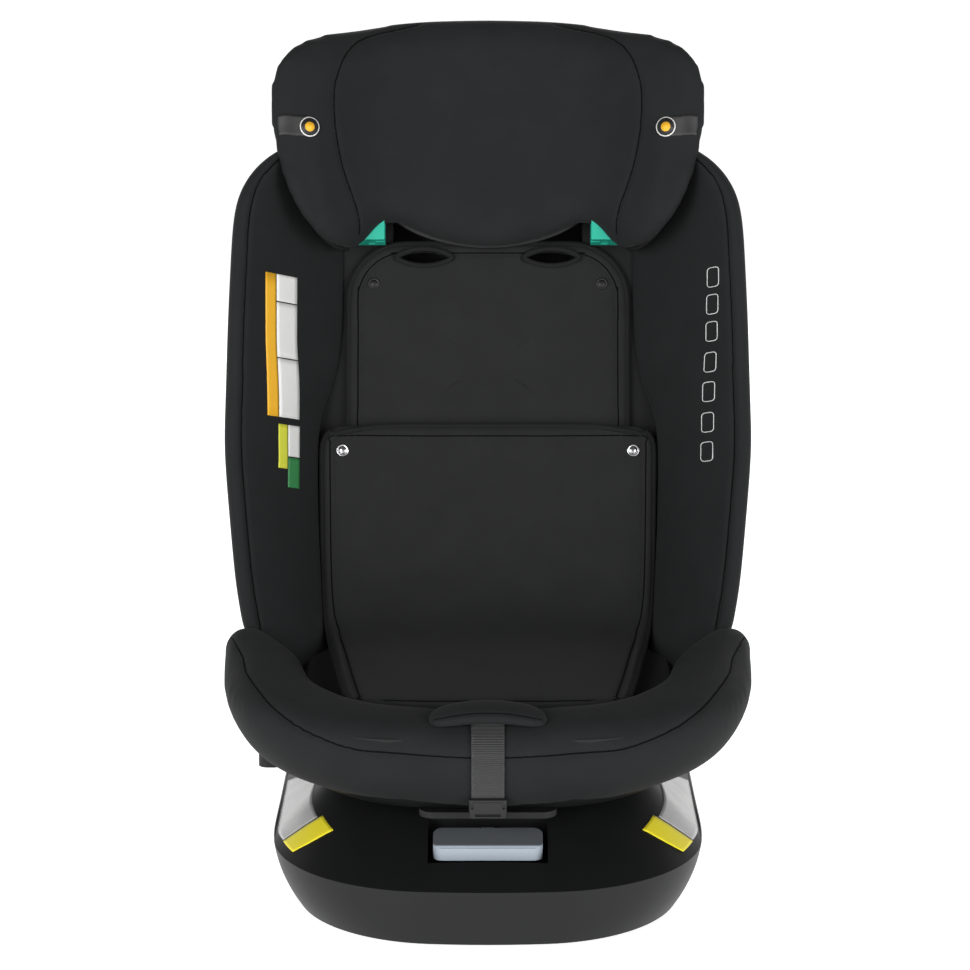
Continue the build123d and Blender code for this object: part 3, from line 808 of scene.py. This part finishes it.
# %% Insert outline
def round_box(half, low, high, corner, inset, count=6):
    """Points round a rectangle with round corners, in (x, s)."""
    half, low, high, corner = half - inset, low + inset, high - inset, max(2, corner - inset)
    points = []
    for quarter, (cx, cy) in enumerate(((1, 1), (-1, 1), (-1, -1), (1, -1))):
        middle_x = cx * (half - corner)
        middle_y = (high - corner) if cy > 0 else (low + corner)
        for k in range(count + 1):
            turn = pi / 2 * (quarter + k / count)
            points.append((middle_x + corner * cos(turn), middle_y + corner * sin(turn)))
    return points


def insert_rows(name, body, tree, line_at, ditch):
    """A near-black cord in the ditch where the bound edge meets the face, as painted shade, and a row of stitches
    inside it.
    """
    line = places(laid(tree, smooth_line(line_at(ditch), closed=True, step=2), 0.1))
    dress(cords(f"{name}_ditch", [line], 0.55, seam_thread_painted_shade, True), body, "black_knit")
    row = laid(tree, smooth_line(line_at(12), closed=True, step=2), 0.2)
    dress(stitches(f"{name}_stitches", [row]), body, "black_knit")


print("insert outline ready")

# %% [markdown]
# The upper insert rides with the headrest. Two lens-shaped slots let the harness through, so they are cut
# right through the pad, and each is edged with binding tape and a ring of stitches.

# %% Upper insert
UPPER = dict(half=123, low=118, high=333, corner=50)
UPPER_LAYERS = [(7, 1.2), (1.5, 1.8), (0, 4.5), (1.5, 7.9), (6, 9.1), (9.5, 7.6), (13, 9), (24, 9.3),
                (60, 9.5), (95, 9.6)]  # (inset, d), from the back edge to the middle of the face


def insert_ring(shape, inset, d):
    return [on_back(x, s, d) for x, s in round_box(**shape, inset=inset)]


upper = loft("upper_insert_pad", [insert_ring(UPPER, i, d) for i, d in UPPER_LAYERS], insert_knit)

SLOT_HALF, SLOT_HIGH, SLOT_MIDDLE = 22, 5.5, (56, 320)


def slot_outline(side, grow, d, count=20):
    """A lens: pointed ends, bowed edges."""
    points = []
    for k in range(count):
        turn = 2 * pi * k / count
        x = SLOT_MIDDLE[0] + (SLOT_HALF + grow) * cos(turn)
        s = SLOT_MIDDLE[1] + (SLOT_HIGH + grow) * sin(turn) * (0.55 + 0.45 * abs(sin(turn)))
        points.append(on_back(side * x, s, d))
    return points


def upper_line(inset, count=8, d=12):
    return [on_back(x, s, d) for x, s in round_box(**UPPER, inset=inset, count=count)]


def slot_cutter(side):
    return loft("slot_cutter", [slot_outline(side, 0, -10), slot_outline(side, 0, 30)], insert_knit, levels=0)


carve(upper, [slot_cutter(side) for side in (-1, 1)])
dress(upper, "headrest", "black_knit", "upper_insert", fill=0.35)
slot_rims = [slot_outline(side, 2, 10.8, 40) for side in (-1, 1)]
dress(cords("harness_slot_rims", slot_rims, 2.2, binding_tape, True), "headrest", "black_knit")
upper_tree = surface(upper)
slot_rows = [laid(upper_tree, slot_outline(side, 6, 12, 60), 0.2) for side in (-1, 1)]
dress(stitches("harness_slot_stitches", slot_rows, pitch=2.2, length=1.9), "headrest", "black_knit")
upper_edge = upper_line(0.5, count=12, d=5)
dress(cords("upper_insert_binding", [upper_edge], 2.6, binding_tape, True), "headrest", "black_knit")
insert_rows("upper_insert", "headrest", upper_tree, upper_line, ditch=9.5)
print("upper insert:", len(upper.data.polygons), "faces")

# %% [markdown]
# The lower insert is one pad that runs down the backrest, round the crease and forward over the seat. Its
# section is swept along that path. The path is a straight run, an arc and a straight run, and the width
# follows it: round at the top corners, full to the hips and drawn in towards the front edge.

# %% Lower insert
INSERT_BACK_D, INSERT_THICK = 10.2, 12.5
SEAT_TOP = 156.2
PAD_TOP_S, PAD_FRONT_Y, PAD_CORNER = 170, -193, 20


def pad_path():
    """(place, direction up out of the pad) along the back face of the insert, from the top to the front."""
    back_top = on_back(0, PAD_TOP_S, INSERT_BACK_D)
    seat_line = Vector((0, 0, SEAT_TOP * MM))
    down = -UP_BACK
    travel = (back_top.z - seat_line.z) / -down.z
    corner = back_top + down * travel
    lean = atan2(UP_BACK.y, UP_BACK.z)
    cut = INSERT_BEND * MM * tan((pi / 2 - lean) / 2)
    start, end = corner - down * cut, corner + Vector((0, -cut, 0))
    centre = end + Vector((0, 0, INSERT_BEND * MM))
    path = []
    length = (start - back_top).length
    for step in (0, 1.2, 4, 9, 16, 26, 50, 90, 130):
        if step * MM < length - 0.004:
            path.append((back_top + down * step * MM, OUT_BACK))
    for k in range(7):
        turn = mix(pi / 2 - lean, 0, k / 6)
        outward = Vector((0, -sin(turn), cos(turn)))
        path.append((centre - outward * INSERT_BEND * MM, outward))
    front = PAD_FRONT_Y * MM
    for left in (130, 95, 60, 34, 16, 8, 3, 1, 0):
        y = front + left * MM
        if y < end.y - 0.006:
            path.append((Vector((0, y, seat_line.z)), Vector((0, 0, 1))))
    return path


PAD_WIDTH = [(-193, 110), (-130, 119), (-60, 128), (0, 136), (50, 143), (105, 146)]


def pad_half_width(place, top):
    """Half the insert's width at a place on its path, which starts at top."""
    from_top = (top - place).length / MM
    to_front = place.y / MM - PAD_FRONT_Y
    return bend(PAD_WIDTH, place.y / MM) - corner_cut(PAD_CORNER, from_top) - corner_cut(PAD_CORNER, to_front)


def pad_ring(index, path):
    place, outward = path[index]
    half = pad_half_width(place, path[0][0])
    ends = min(index, len(path) - 1 - index)
    thick = INSERT_THICK * (0.3, 0.62, 0.86, 0.97, 1)[min(ends, 4)]
    lift = (INSERT_THICK - thick) * 0.35
    face = [(1, 0.5), (0.985, 0.86), (0.96, 1.0), (0.935, 0.82), (0.905, 0.97), (0.5, 1.03)]
    back = [(0.98, 0.06), (0.5, 0)]
    profile = [(-x, h) for x, h in face] + [(0, 1.06)] + face[::-1] + back + [(0, 0)]
    profile += [(-x, h) for x, h in back[::-1]]
    return [place + Vector((x * half * MM, 0, 0)) + outward * (lift + h * thick) * MM for x, h in profile]


path = pad_path()
lower = loft("lower_insert_pad", [pad_ring(k, path) for k in range(len(path))], insert_knit)
dress(lower, "seat", "black_knit", "lower_insert", fill=0.4)
lower_tree = surface(lower)


def pad_edge(inset, height=16):
    """A line round the visible edge of the insert."""
    right = []
    for index in range(3, len(path) - 3):
        place, outward = path[index]
        half = pad_half_width(place, path[0][0]) - inset
        right.append(place + Vector((half * MM, 0, 0)) + outward * height * MM)
    top, front = path[0], path[-1]
    top_row = [top[0] - UP_BACK * inset * MM + OUT_BACK * height * MM + Vector((x * MM, 0, 0))
               for x in (-60, 0, 60)]
    front_row = [front[0] + Vector((x * MM, 2 * MM, height * MM)) for x in (50, 0, -50)]
    left = [Vector((-p.x, p.y, p.z)) for p in reversed(right)]
    return top_row + right + front_row + left


binding = places(laid(lower_tree, smooth_line(pad_edge(1, 7), closed=True)))
dress(cords("lower_insert_binding", [binding], 2.6, binding_tape, True), "seat", "black_knit")
insert_rows("lower_insert", "seat", lower_tree, pad_edge, ditch=9.3)
print("lower insert:", len(lower.data.polygons), "faces")

# %% [markdown]
# A strap tightens the harness. It comes out from under a padded pull tab on the rim, runs over the rim's
# front and ends in a small plastic clip. The strap is flat webbing, so it is a thin section swept along a
# line that has been laid on the bumper. Its ribs are relief in the material.

# %% Webbing
black_webbing = finish("black_webbing", (0.016, 0.0163, 0.0168), 0.5, mottle=0.12, Sheen_Weight=0.2)
relief(black_webbing, waves(black_webbing, "Z", 1.6, 0.4), 0.35)  # its ribs, 1.6 mm apart

STRAP_LINE = [(-222, 175), (-240, 175), (-256, 172), (-267, 164), (-272, 152), (-273, 138), (-270, 122),
              (-266, 110)]  # (y, z), from under the pull tab to the clip
bumper_tree = surface(bumper)
strap_line = smooth_line([Vector((0, y * MM, z * MM)) for y, z in STRAP_LINE], step=2)
strap_path = laid(bumper_tree, strap_line, 1.2)


def strap_ring(place, normal):
    """A flat section with soft edges."""
    half, thick = 12.8, 1.4
    section = [(-half, 0.3), (-half + 0.8, 0), (0, 0), (half - 0.8, 0), (half, 0.3), (half, thick - 0.3),
               (half - 0.8, thick), (0, thick), (-half + 0.8, thick), (-half, thick - 0.3)]
    return [place + Vector((x * MM, 0, 0)) + normal * h * MM for x, h in section]


strap_normals = [Vector((0, n.y, n.z)).normalized() for _, n in strap_path]
strap_rings = [strap_ring(place, n) for (place, _), n in zip(strap_path, strap_normals)]
strap = loft("tightening_strap", strap_rings, black_webbing, levels=1)
dress(strap, "seat", "black_webbing", "adjuster_strap")
print("strap", round(sum((b[0] - a[0]).length for a, b in zip(strap_path, strap_path[1:])), 3), "m long")

# %% [markdown]
# The pull tab is padded cloth sewn down at its rear edge. Its front edge stands up in an arch where the
# strap passes beneath, and its ends lie on the rim. It is swept from one end to the other, and every
# section is a small cushion.

# %% Pull tab
TAB_HALF = 46


def tab_ring(x):
    """A section of the pull tab at x."""
    reach = abs(x) / TAB_HALF
    arch = 1 - reach**2
    size = sqrt(max(0.0, 1 - reach**6))
    rear, front = Vector((-204 - 9 * reach**2, 168.5)), Vector((-257 + 2.5 * arch, 167 + 5 * arch))
    middle = rear.lerp(front, 0.55)
    thick = 5.2 * size + 0.3
    profile = [(0, -0.5), (0.02, 0.5), (0.25, 0.95), (0.5, 1.15), (0.75, 1.1), (0.93, 0.95), (1, 0.3),
               (0.985, -0.6), (0.9, -0.85), (0.6, -0.7), (0.3, -0.6)]
    points = []
    for along, up in profile:
        spot = middle.lerp(rear.lerp(front, along), 0.15 + 0.85 * size)
        lift = 4.5 * sin(pi * along) * arch
        points.append(Vector((x * MM, spot.x * MM, (spot.y + lift + up * thick) * MM)))
    return points


TAB_STATIONS = (-TAB_HALF, -45, -42, -36, -27, -14, 0, 14, 27, 36, 42, 45, TAB_HALF)
tab = loft("pull_tab", [tab_ring(x) for x in TAB_STATIONS], cover_knit, levels=3)
dress(tab, "seat", "black_knit", "adjuster_flap", fill=0.6)
tab_edge = smooth_line([tab_ring(x)[5] for x in (-43, -36, -27, -14, 0, 14, 27, 36, 43)], step=2)
sew(tab, "pull_tab_seam", "seat", tab_edge, depth=0.8, radius=0.5)
print("pull tab:", len(tab.data.polygons), "faces")

# %% [markdown]
# The clip at the strap's end is a moulded block, tilted to hang against the bowl. It is a box with rounded
# edges, and four smaller boxes are cut out of its face: a slot, two side recesses and a groove.

# %% Strap clip
def box_mesh(name, size, place, turn, bevel, material):
    """A box with rounded edges, placed in its mesh."""
    bm = bmesh.new()
    bmesh.ops.create_cube(bm, size=MM)
    bmesh.ops.scale(bm, vec=size, verts=bm.verts)
    bmesh.ops.bevel(bm, geom=bm.edges[:], offset=bevel * MM, offset_type="OFFSET", segments=3, profile=0.5,
                    affect="EDGES", material=-1)
    where = Matrix.Translation(Vector(place) * MM) @ Matrix.Rotation(radians(turn), 4, "X")
    bmesh.ops.transform(bm, matrix=where, verts=bm.verts)
    return new_object(name, bm, material)


clip_low, clip_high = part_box("strap_end_clip")
clip_mid = (clip_low + clip_high) / 2 / MM
CLIP_TURN = 15
clip_turn = Matrix.Rotation(radians(CLIP_TURN), 3, "X")


def on_clip(x, y, z):
    """A place on the clip, in its own directions."""
    return clip_mid + clip_turn @ Vector((x, y, z))


clip = box_mesh("strap_clip", (29.5, 4.8, 17.5), on_clip(0, 0, 0), CLIP_TURN, 1.1, satin_plastic)
CLIP_CUTS = [((20, 3, 2.4), (0, -2, -5)), ((2.2, 2, 5), (-12.2, -2.2, 3)), ((2.2, 2, 5), (12.2, -2.2, 3)),
             ((23, 1, 0.8), (0, -2.4, 7))]  # (size, place)
carve(clip, [box_mesh("cutter", size, on_clip(*at), CLIP_TURN, 0.3, satin_plastic) for size, at in CLIP_CUTS])
shade(clip.data, smooth=False)
dress(clip, "seat", "black_plastic", "strap_end_clip")
print("clip turned", CLIP_TURN, "degrees")

# %% [markdown]
# Press studs hold the corners of the inserts. A stud is turned on a lathe, so its half profile is spun
# round its own axis: a flat collar, a groove and a low dome. The lower pair is bright metal and the upper
# pair is dark.

# %% Press studs
def stud(name, tree, x, s, radius, material):
    """A press stud sitting on the cloth."""
    place, normal = laid(tree, [on_back(x, s, 30)])[0]
    profile = [(0, 1.7), (0.35, 1.55), (0.55, 1.15), (0.62, 0.75), (0.7, 0.7), (0.78, 1.0), (0.92, 0.9),
               (1, 0.4), (1, -0.6), (0, -0.6)]
    bm = bmesh.new()
    verts = [bm.verts.new((r * radius * MM, 0, h * MM)) for r, h in profile]
    edges = [bm.edges.new(pair) for pair in zip(verts, verts[1:])]
    bmesh.ops.spin(bm, geom=verts + edges, cent=(0, 0, 0), axis=(0, 0, 1), angle=2 * pi, steps=32,
                   use_merge=True)
    bmesh.ops.remove_doubles(bm, verts=bm.verts, dist=0.01 * MM)
    turn = normal.to_track_quat("Z", "Y").to_matrix().to_4x4()
    bmesh.ops.transform(bm, matrix=Matrix.Translation(place) @ turn, verts=bm.verts)
    return new_object(name, bm, material)


dark_stud = finish("dark_stud", (0.008, 0.008, 0.0085), 0.42, 0.004, 2, Specular_IOR_Level=0.3)
for side, name in ((-1, "left"), (1, "right")):
    low_stud = stud(f"lower_stud_{name}", lower_tree, side * 127, 148, 5.6, chrome)
    dress(low_stud, "seat", "chrome_snap")
    high_stud = stud(f"upper_stud_{name}", upper_tree, side * 101, 297, 5.4, dark_stud)
    dress(high_stud, "headrest", "black_plastic")
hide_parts("insert_snaps")
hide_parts("upper_snaps")
print("four press studs")

# %% [markdown]
# Between the wings the backrest has its own cover, open at the top for the headrest's slide, and the seat
# has a flat cushion under the insert. Little of either shows, so each is an outline given a thickness and
# soft edges.

# %% Back cover and cushion
def slab(name, low_ring, high_ring, edge, material):
    """Two rings joined into a slab with rounded edges."""
    piece = loft(name, [low_ring, high_ring], material, levels=0)
    rounded = piece.modifiers.new("edge", "BEVEL")
    rounded.width = edge * MM
    rounded.segments = 3
    rounded.limit_method = "ANGLE"
    return bake_modifiers(piece)


CUSHION_LOW, CUSHION_HIGH = 135.6, 155.8
COVER_HALF = [(152, -12), (152, 150), (146, 185), (135, 225), (131, 300), (130, 360), (116, 388), (84.5, 397),
              (84.5, 236)]
cover_outline = COVER_HALF + [(-x, s) for x, s in reversed(COVER_HALF)]
back_cover = slab("back_cover_pad", [on_back(x, s, -8) for x, s in cover_outline],
                  [on_back(x, s, 0.4) for x, s in cover_outline], 1.5, insert_knit)
dress(back_cover, "seat", "black_knit", "back_cover", fill=0.5)

CUSHION_STATIONS = FRONT_STATIONS + CORNER_STATIONS + [("side", y) for y in (-60, 0, 40)]
cushion_half = [well(station, 4) for station in CUSHION_STATIONS]
cushion_outline = [Vector((-p.x, p.y)) for p in reversed(cushion_half[1:])] + cushion_half
cushion_rings = [[Vector((p.x * MM, p.y * MM, z * MM)) for p in cushion_outline]
                 for z in (CUSHION_LOW, CUSHION_HIGH)]
cushion = slab("seat_cushion_pad", *cushion_rings, 5, insert_knit)
dress(cushion, "seat", "black_knit", "seat_cushion", fill=0.7)
print("back cover and cushion made")

# %% [markdown]
# Behind the cloth is a moulded shell. It is a thin curved wall, so its section is two lines a few
# millimetres apart, which meet in a rounded rim at the top and at the bottom. The headrest has a smaller
# shell of its own.

# %% Moulded shells
def wall_ring(outer, inner, full):
    """A closed ring round a thin wall; full closes the wall to its middle line at a rim."""
    half = []
    for line, other in ((outer, inner), (inner[::-1], outer[::-1])):
        half.append([((x + u) / 2 + (x - u) / 2 * full, s, (d + v) / 2 + (d - v) / 2 * full)
                     for (x, s, d), (u, _, v) in zip(line, other)])
    right = half[0] + half[1]
    left = [(-x, s, d) for x, s, d in right[-2:0:-1]]
    return [on_back(*p) for p in right + left]


RIM_STEPS = (0, 1.2, 2.6, 5)


def with_rims(low, high, between):
    """Heights from low to high with extra ones for a rounded rim, each with how open the wall is."""
    opened = (0, 0.75, 0.97, 1)
    bottom = [(low + step, full) for step, full in zip(RIM_STEPS, opened)]
    top = [(high - step, full) for step, full in zip(RIM_STEPS, opened)]
    return bottom + [(s, 1) for s in between] + top[::-1]


# How far in from the outermost x, then d of the outside and of the inside; None is the middle of the seat.
SHELL_SECTION = [(None, -61.5, -57.5), (92, -61.5, -57.5), (64, -57, -53.5), (44, -38, -35), (28, -8, -6),
                 (16.5, 25, 26), (9.5, 55, 55.5), (5, 79, 79)]


def back_shell_ring(s, full):
    outer_x = through(WING_OUT[2:], s) - corner_cut(WING_CORNER, WING_TOP - s)
    outer, inner = [], []
    for step, d_out, d_in in SHELL_SECTION:
        x = 0 if step is None else outer_x - step
        thick = 0 if step is None or step > 80 else 3.4
        outer.append((x, s, d_out))
        inner.append((x - thick, s, d_in))
    return wall_ring(outer, inner, full)


shell_heights = with_rims(-20, 411, (20, 70, 120, 170, 220, 270, 310, 337, 355, 372, 386, 397))
shell_rings = [back_shell_ring(*height) for height in shell_heights]
shell = loft("back_shell_smooth", shell_rings, shell_plastic, weld=True)
dress(shell, "seat", "black_plastic", "back_shell")

HEAD_WALL = [  # (x, d) outside, (x, d) inside
    ((0, 11), (0, 14.3)), ((60, 11), (60, 14.3)), ((84, 11), (84, 14.3)), ((88, 11), (88, 14.3)),
    ((106, 11.4), (104, 14.7)), ((116, 16), (113, 19)), ((119, 19), (116, 22)), ((136, 38.5), (132.8, 41)),
    ((156, 61), (152.8, 63.5)), ((174, 81.5), (170.8, 84)), ((185, 94), (182, 96.4)),
]
# Over the belt guides the shell's lower edge is notched: (x, height above 336).
SHELL_NOTCH = [(84.5, 0), (88, 20), (116, 20), (118.5, 0)]


def head_wall_ring(level, full):
    outer, inner = [], []
    for (xo, do), (xi, di) in HEAD_WALL:
        low = max(head_bottom(xo) + 3, 336 + through(SHELL_NOTCH, xo) if 84.5 < xo < 118.5 else 0)
        s = mix(low, head_top(xo) - 2, level)
        outer.append((xo, s, do))
        inner.append((xi, s, di))
    return wall_ring(outer, inner, full)


HEAD_LEVELS = [(0, 0), (0.008, 0.8), (0.025, 1), (0.15, 1), (0.35, 1), (0.6, 1), (0.82, 1), (0.975, 1),
               (0.992, 0.8), (1, 0)]
rear_rings = [head_wall_ring(*level) for level in HEAD_LEVELS]
rear = loft("headrest_shell_smooth", rear_rings, shell_plastic, weld=True)
dress(rear, "headrest", "black_plastic", "head_shell")
print("shells:", len(shell.data.polygons), "and", len(rear.data.polygons), "faces")

# %% [markdown]
# The back of the shell carries a door over the harness, with grip grooves, and the headrest's slide has a
# rounded cover. Both are outlines stacked with growing insets, like the inserts.

# %% Rear details
def plate(name, shape, layers, material, levels=0):
    """A rounded plate from (inset, d) layers."""
    return loft(name, [insert_ring(shape, inset, d) for inset, d in layers], material, levels)


DOOR = dict(half=74, low=44, high=250, corner=22)
DOOR_LAYERS = [(0, -60), (0, -64), (0.8, -65.4), (3, -66), (9, -66), (11, -64.4), (12.5, -64.4)]
door = plate("harness_door", DOOR, DOOR_LAYERS, satin_plastic)
dress(door, "seat", "black_plastic")
for k in range(5):
    bar = dict(half=46, low=86 + 26 * k, high=94 + 26 * k, corner=3.9)
    rib = plate(f"door_rib_{k}", bar, [(0, -63), (0, -66), (1, -67)], satin_plastic)
    dress(rib, "seat", "black_plastic")
for k in range(9):
    x = 14 * (k - 4)
    rings = [[on_back(x + dx, s, d) for dx, s in round_box(3, 285, 335, 2.9, inset, 3)]
             for inset, d in ((0, -60.5), (0, -62.4), (1, -63.2))]
    dress(loft(f"shell_rib_{k}", rings, satin_plastic, 0), "seat", "black_plastic")

CARRIER = dict(half=80, low=351, high=478, corner=16)
CARRIER_LAYERS = [(4, 10), (0, 6), (0, -40), (1.2, -45.5), (5, -48.3), (12, -48.5), (30, -48.5)]
carrier_cover = plate("headrest_slide_cover", CARRIER, CARRIER_LAYERS, shell_plastic, levels=1)
dress(carrier_cover, "headrest", "black_plastic", "head_rear_cover")
print("rear details made")

# %% [markdown]
# Tags are thin sheets that follow the cloth under them. Each starts as a flat grid, is mapped to the pad's
# own directions and is dropped onto the nearest cloth, then given a little thickness. They are left blank.

# %% Tag helper
TAG_THICK = 0.3


def tag(name, tree, place_at, body, slot, material, cells=(6, 10), lift=0.35, from_above=False):
    """A thin sheet laid on a piece. place_at turns (u, v), each from 0 to 1, into a point nearby or above."""
    up = Vector((0, 0, 1))
    bm = bmesh.new()
    bmesh.ops.create_grid(bm, x_segments=cells[0], y_segments=cells[1], size=0.5)
    for vert in bm.verts:
        spot = place_at(vert.co.x + 0.5, vert.co.y + 0.5)
        if from_above:
            vert.co = tree.ray_cast(spot + 0.1 * up, -up)[0] + lift * MM * up
        else:
            vert.co = laid(tree, [spot], lift)[0][0]
    bmesh.ops.recalc_face_normals(bm, faces=bm.faces)
    bmesh.ops.solidify(bm, geom=bm.faces[:], thickness=TAG_THICK * MM)
    dress(new_object(name, bm, material), body, slot)


TAG_CLOTH = (0.55, 0.05, 0.8, 0.03)  # roughness, grain, grain size and mottle
white_tag = finish("white_tag", (0.72, 0.72, 0.70), *TAG_CLOTH)
amber_tag = finish("amber_tag", (0.80, 0.42, 0.02), *TAG_CLOTH)
lime_tag = finish("lime_tag", (0.62, 0.64, 0.05), *TAG_CLOTH)
green_tag = finish("green_tag", (0.03, 0.20, 0.06), *TAG_CLOTH)
yellow_tag = finish("yellow_tag", (0.86, 0.74, 0.03), 0.4, 0.02, 0.8, 0.03)
clear_film = finish("clear_film", (0.46, 0.45, 0.45), 0.25, 0.02, 3, 0.25)
print_white = finish("print_white", (0.62, 0.62, 0.62), 0.6, 0.02, 0.5)
satin_tab = finish("satin_tab", (0.014, 0.014, 0.0145), 0.5, 0.03, 0.5)
wing_trees = {name: surface(piece) for name, piece in wings.items()}
print("tag helper and finishes ready")

# %% [markdown]
# The left wing carries a ladder of coloured tags and the right wing a column of small printed frames. Both
# are placed between two points of the wing's own section, so they follow its face. Each side of the
# headrest has a satin tab with a round badge, made of three discs on one another.

# %% Tags

def on_wing(side, x, s):
    """A point on a wing's face, at x across and s up."""
    ring = wing_ring(side, s)
    near, far = ring[1], ring[5]
    return near.lerp(far, (abs(x) - abs(near.x) / MM) / (abs(far.x - near.x) / MM))


def wing_area(side, x0, x1, s0, s1):
    return lambda u, v: on_wing(side, mix(x0, x1, u), mix(s0, s1, v))


LEFT_TAGS = [  # name, x and s from and to, finish
    ("amber_block", 182, 190, 172, 294, amber_tag),
    ("white_top_block", 165.5, 181.5, 271, 294, white_tag),
    ("white_mid_block", 165.5, 181.5, 223, 270, white_tag),
    ("white_end_block", 165.5, 181.5, 172, 222, white_tag),
    ("lime_block", 175, 182, 128, 166, lime_tag),
    ("white_low_block", 165, 174.5, 139, 166, white_tag),
    ("green_block", 165, 174.5, 112, 138, green_tag),
]
for name, *area, material in LEFT_TAGS:
    tag(f"blank_tag_{name}", wing_trees["left"], wing_area(-1, *area), "seat", "black_knit", material)


def frame_line(x, s):
    """A small rounded frame on the right wing."""
    corners = round_box(4.3, s - 8.2, s + 8.2, 2.4, 0, 3)
    return places(laid(wing_trees["right"], [on_wing(1, x + dx, sv) for dx, sv in corners], 0.1))


FRAME_HEIGHTS = [289, 266, 243, 217, 192, 166, 141]
frame_lines = [frame_line(192 - 0.02 * (FRAME_HEIGHTS[0] - s), s) for s in FRAME_HEIGHTS]
dress(cords("blank_frames", frame_lines, 0.4, print_white, True), "seat", "black_knit")

head_tree = surface(head)
BADGE = ((8.6, 0.5, white_tag), (7.7, 0.8, satin_tab), (4.2, 1.1, amber_tag))  # radius, height, finish
for side, name in ((-1, "left"), (1, "right")):
    def tab_at(u, v, side=side):
        return on_back(side * mix(148, 186, u), mix(409, 427, v), mix(112, 118, u))

    tag(f"headrest_tab_{name}", head_tree, tab_at, "headrest", "black_knit", satin_tab, cells=(14, 8))
    spot, outward = laid(head_tree, [on_back(side * 146, 418, 120)], 0.5)[0]
    turn = outward.to_track_quat("Z", "Y").to_matrix().to_4x4()
    for radius, rise, material in BADGE:
        bm = bmesh.new()
        where = Matrix.Translation(spot + outward * rise / 2 * MM) @ turn
        bmesh.ops.create_cone(bm, cap_ends=True, segments=40, radius1=radius * MM, radius2=radius * MM,
                              depth=rise * MM, matrix=where)
        dress(new_object(f"headrest_disc_{name}_{radius:.0f}", bm, material), "headrest", "black_knit")
print(len(LEFT_TAGS), "blank tags,", len(FRAME_HEIGHTS), "frames and two badges laid")

# %% [markdown]
# The base has a pale film and a yellow sticker on each front corner of its deck, also blank. They are
# dropped on from above, because the deck slopes. A thin bead runs along the joint between the tray and the
# deck, and shows at the sides.

# %% Base stickers and bead
deck_tree = surface(nodes["base_cover"])
DECK = [(47, 173, -297, 130), (60, 158, -262, 118), (84, 128, -206, 100)]  # as BOWL
DECK_BOW, PER_DEGREE = 24, 2  # PER_DEGREE: millimetres along the side for each degree past 90


def on_deck(side, turn, z):
    """A point on the deck's slope: degrees round its front corner, past 90 along its side, and a height."""
    half, front, corner = (through([(row[0], row[k]) for row in DECK], z) for k in (1, 2, 3))
    spot = outline_at(("corner", min(90, turn)), half, front, corner, DECK_BOW)
    return Vector((side * spot.x * MM, (spot.y + max(0, turn - 90) * PER_DEGREE) * MM, z * MM))


def quad(corners, u, v):
    """A place inside four corners, given in order round it: u along the first side, v across."""
    a, b, c, d = map(Vector, corners)
    return a.lerp(b, u).lerp(d.lerp(c, u), v)


FILM_CORNERS = [(149, 49), (72, 49), (60, 64.5), (100, 76)]  # (degrees, height)
STICKER_CORNERS = [(60, 47.6), (46, 62), (57.5, 66), (71, 48.6)]
DECK_TAGS = (("film", FILM_CORNERS, clear_film, (30, 12), 0.25),
             ("sticker", STICKER_CORNERS, yellow_tag, (14, 8), 0.6))
for side, name in ((-1, "left"), (1, "right")):
    for label, corners, material, cells, lift in DECK_TAGS:
        def deck_at(u, v, side=side, corners=corners):
            return on_deck(side, *quad(corners, u, v))

        tag(f"base_{label}_{name}", deck_tree, deck_at, "base", "black_plastic", material, cells, lift,
            from_above=True)

bead_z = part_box("base_tray")[1].z
bead_half = [outline_at(station, 173.2, -292.2, 130, 18) for station in FRONT_STATIONS + CORNER_STATIONS]
bead_half += [Vector((173.2, y)) for y in (-60, 60, 150, 185)]
bead_line = [Vector((-p.x * MM, p.y * MM, bead_z)) for p in reversed(bead_half[1:])]
bead_line += [Vector((p.x * MM, p.y * MM, bead_z)) for p in bead_half]
dress(cords("deck_bead", [smooth_line(bead_line, step=6)], 0.9, shell_plastic), "base", "black_plastic")
print("base stickers and bead made")
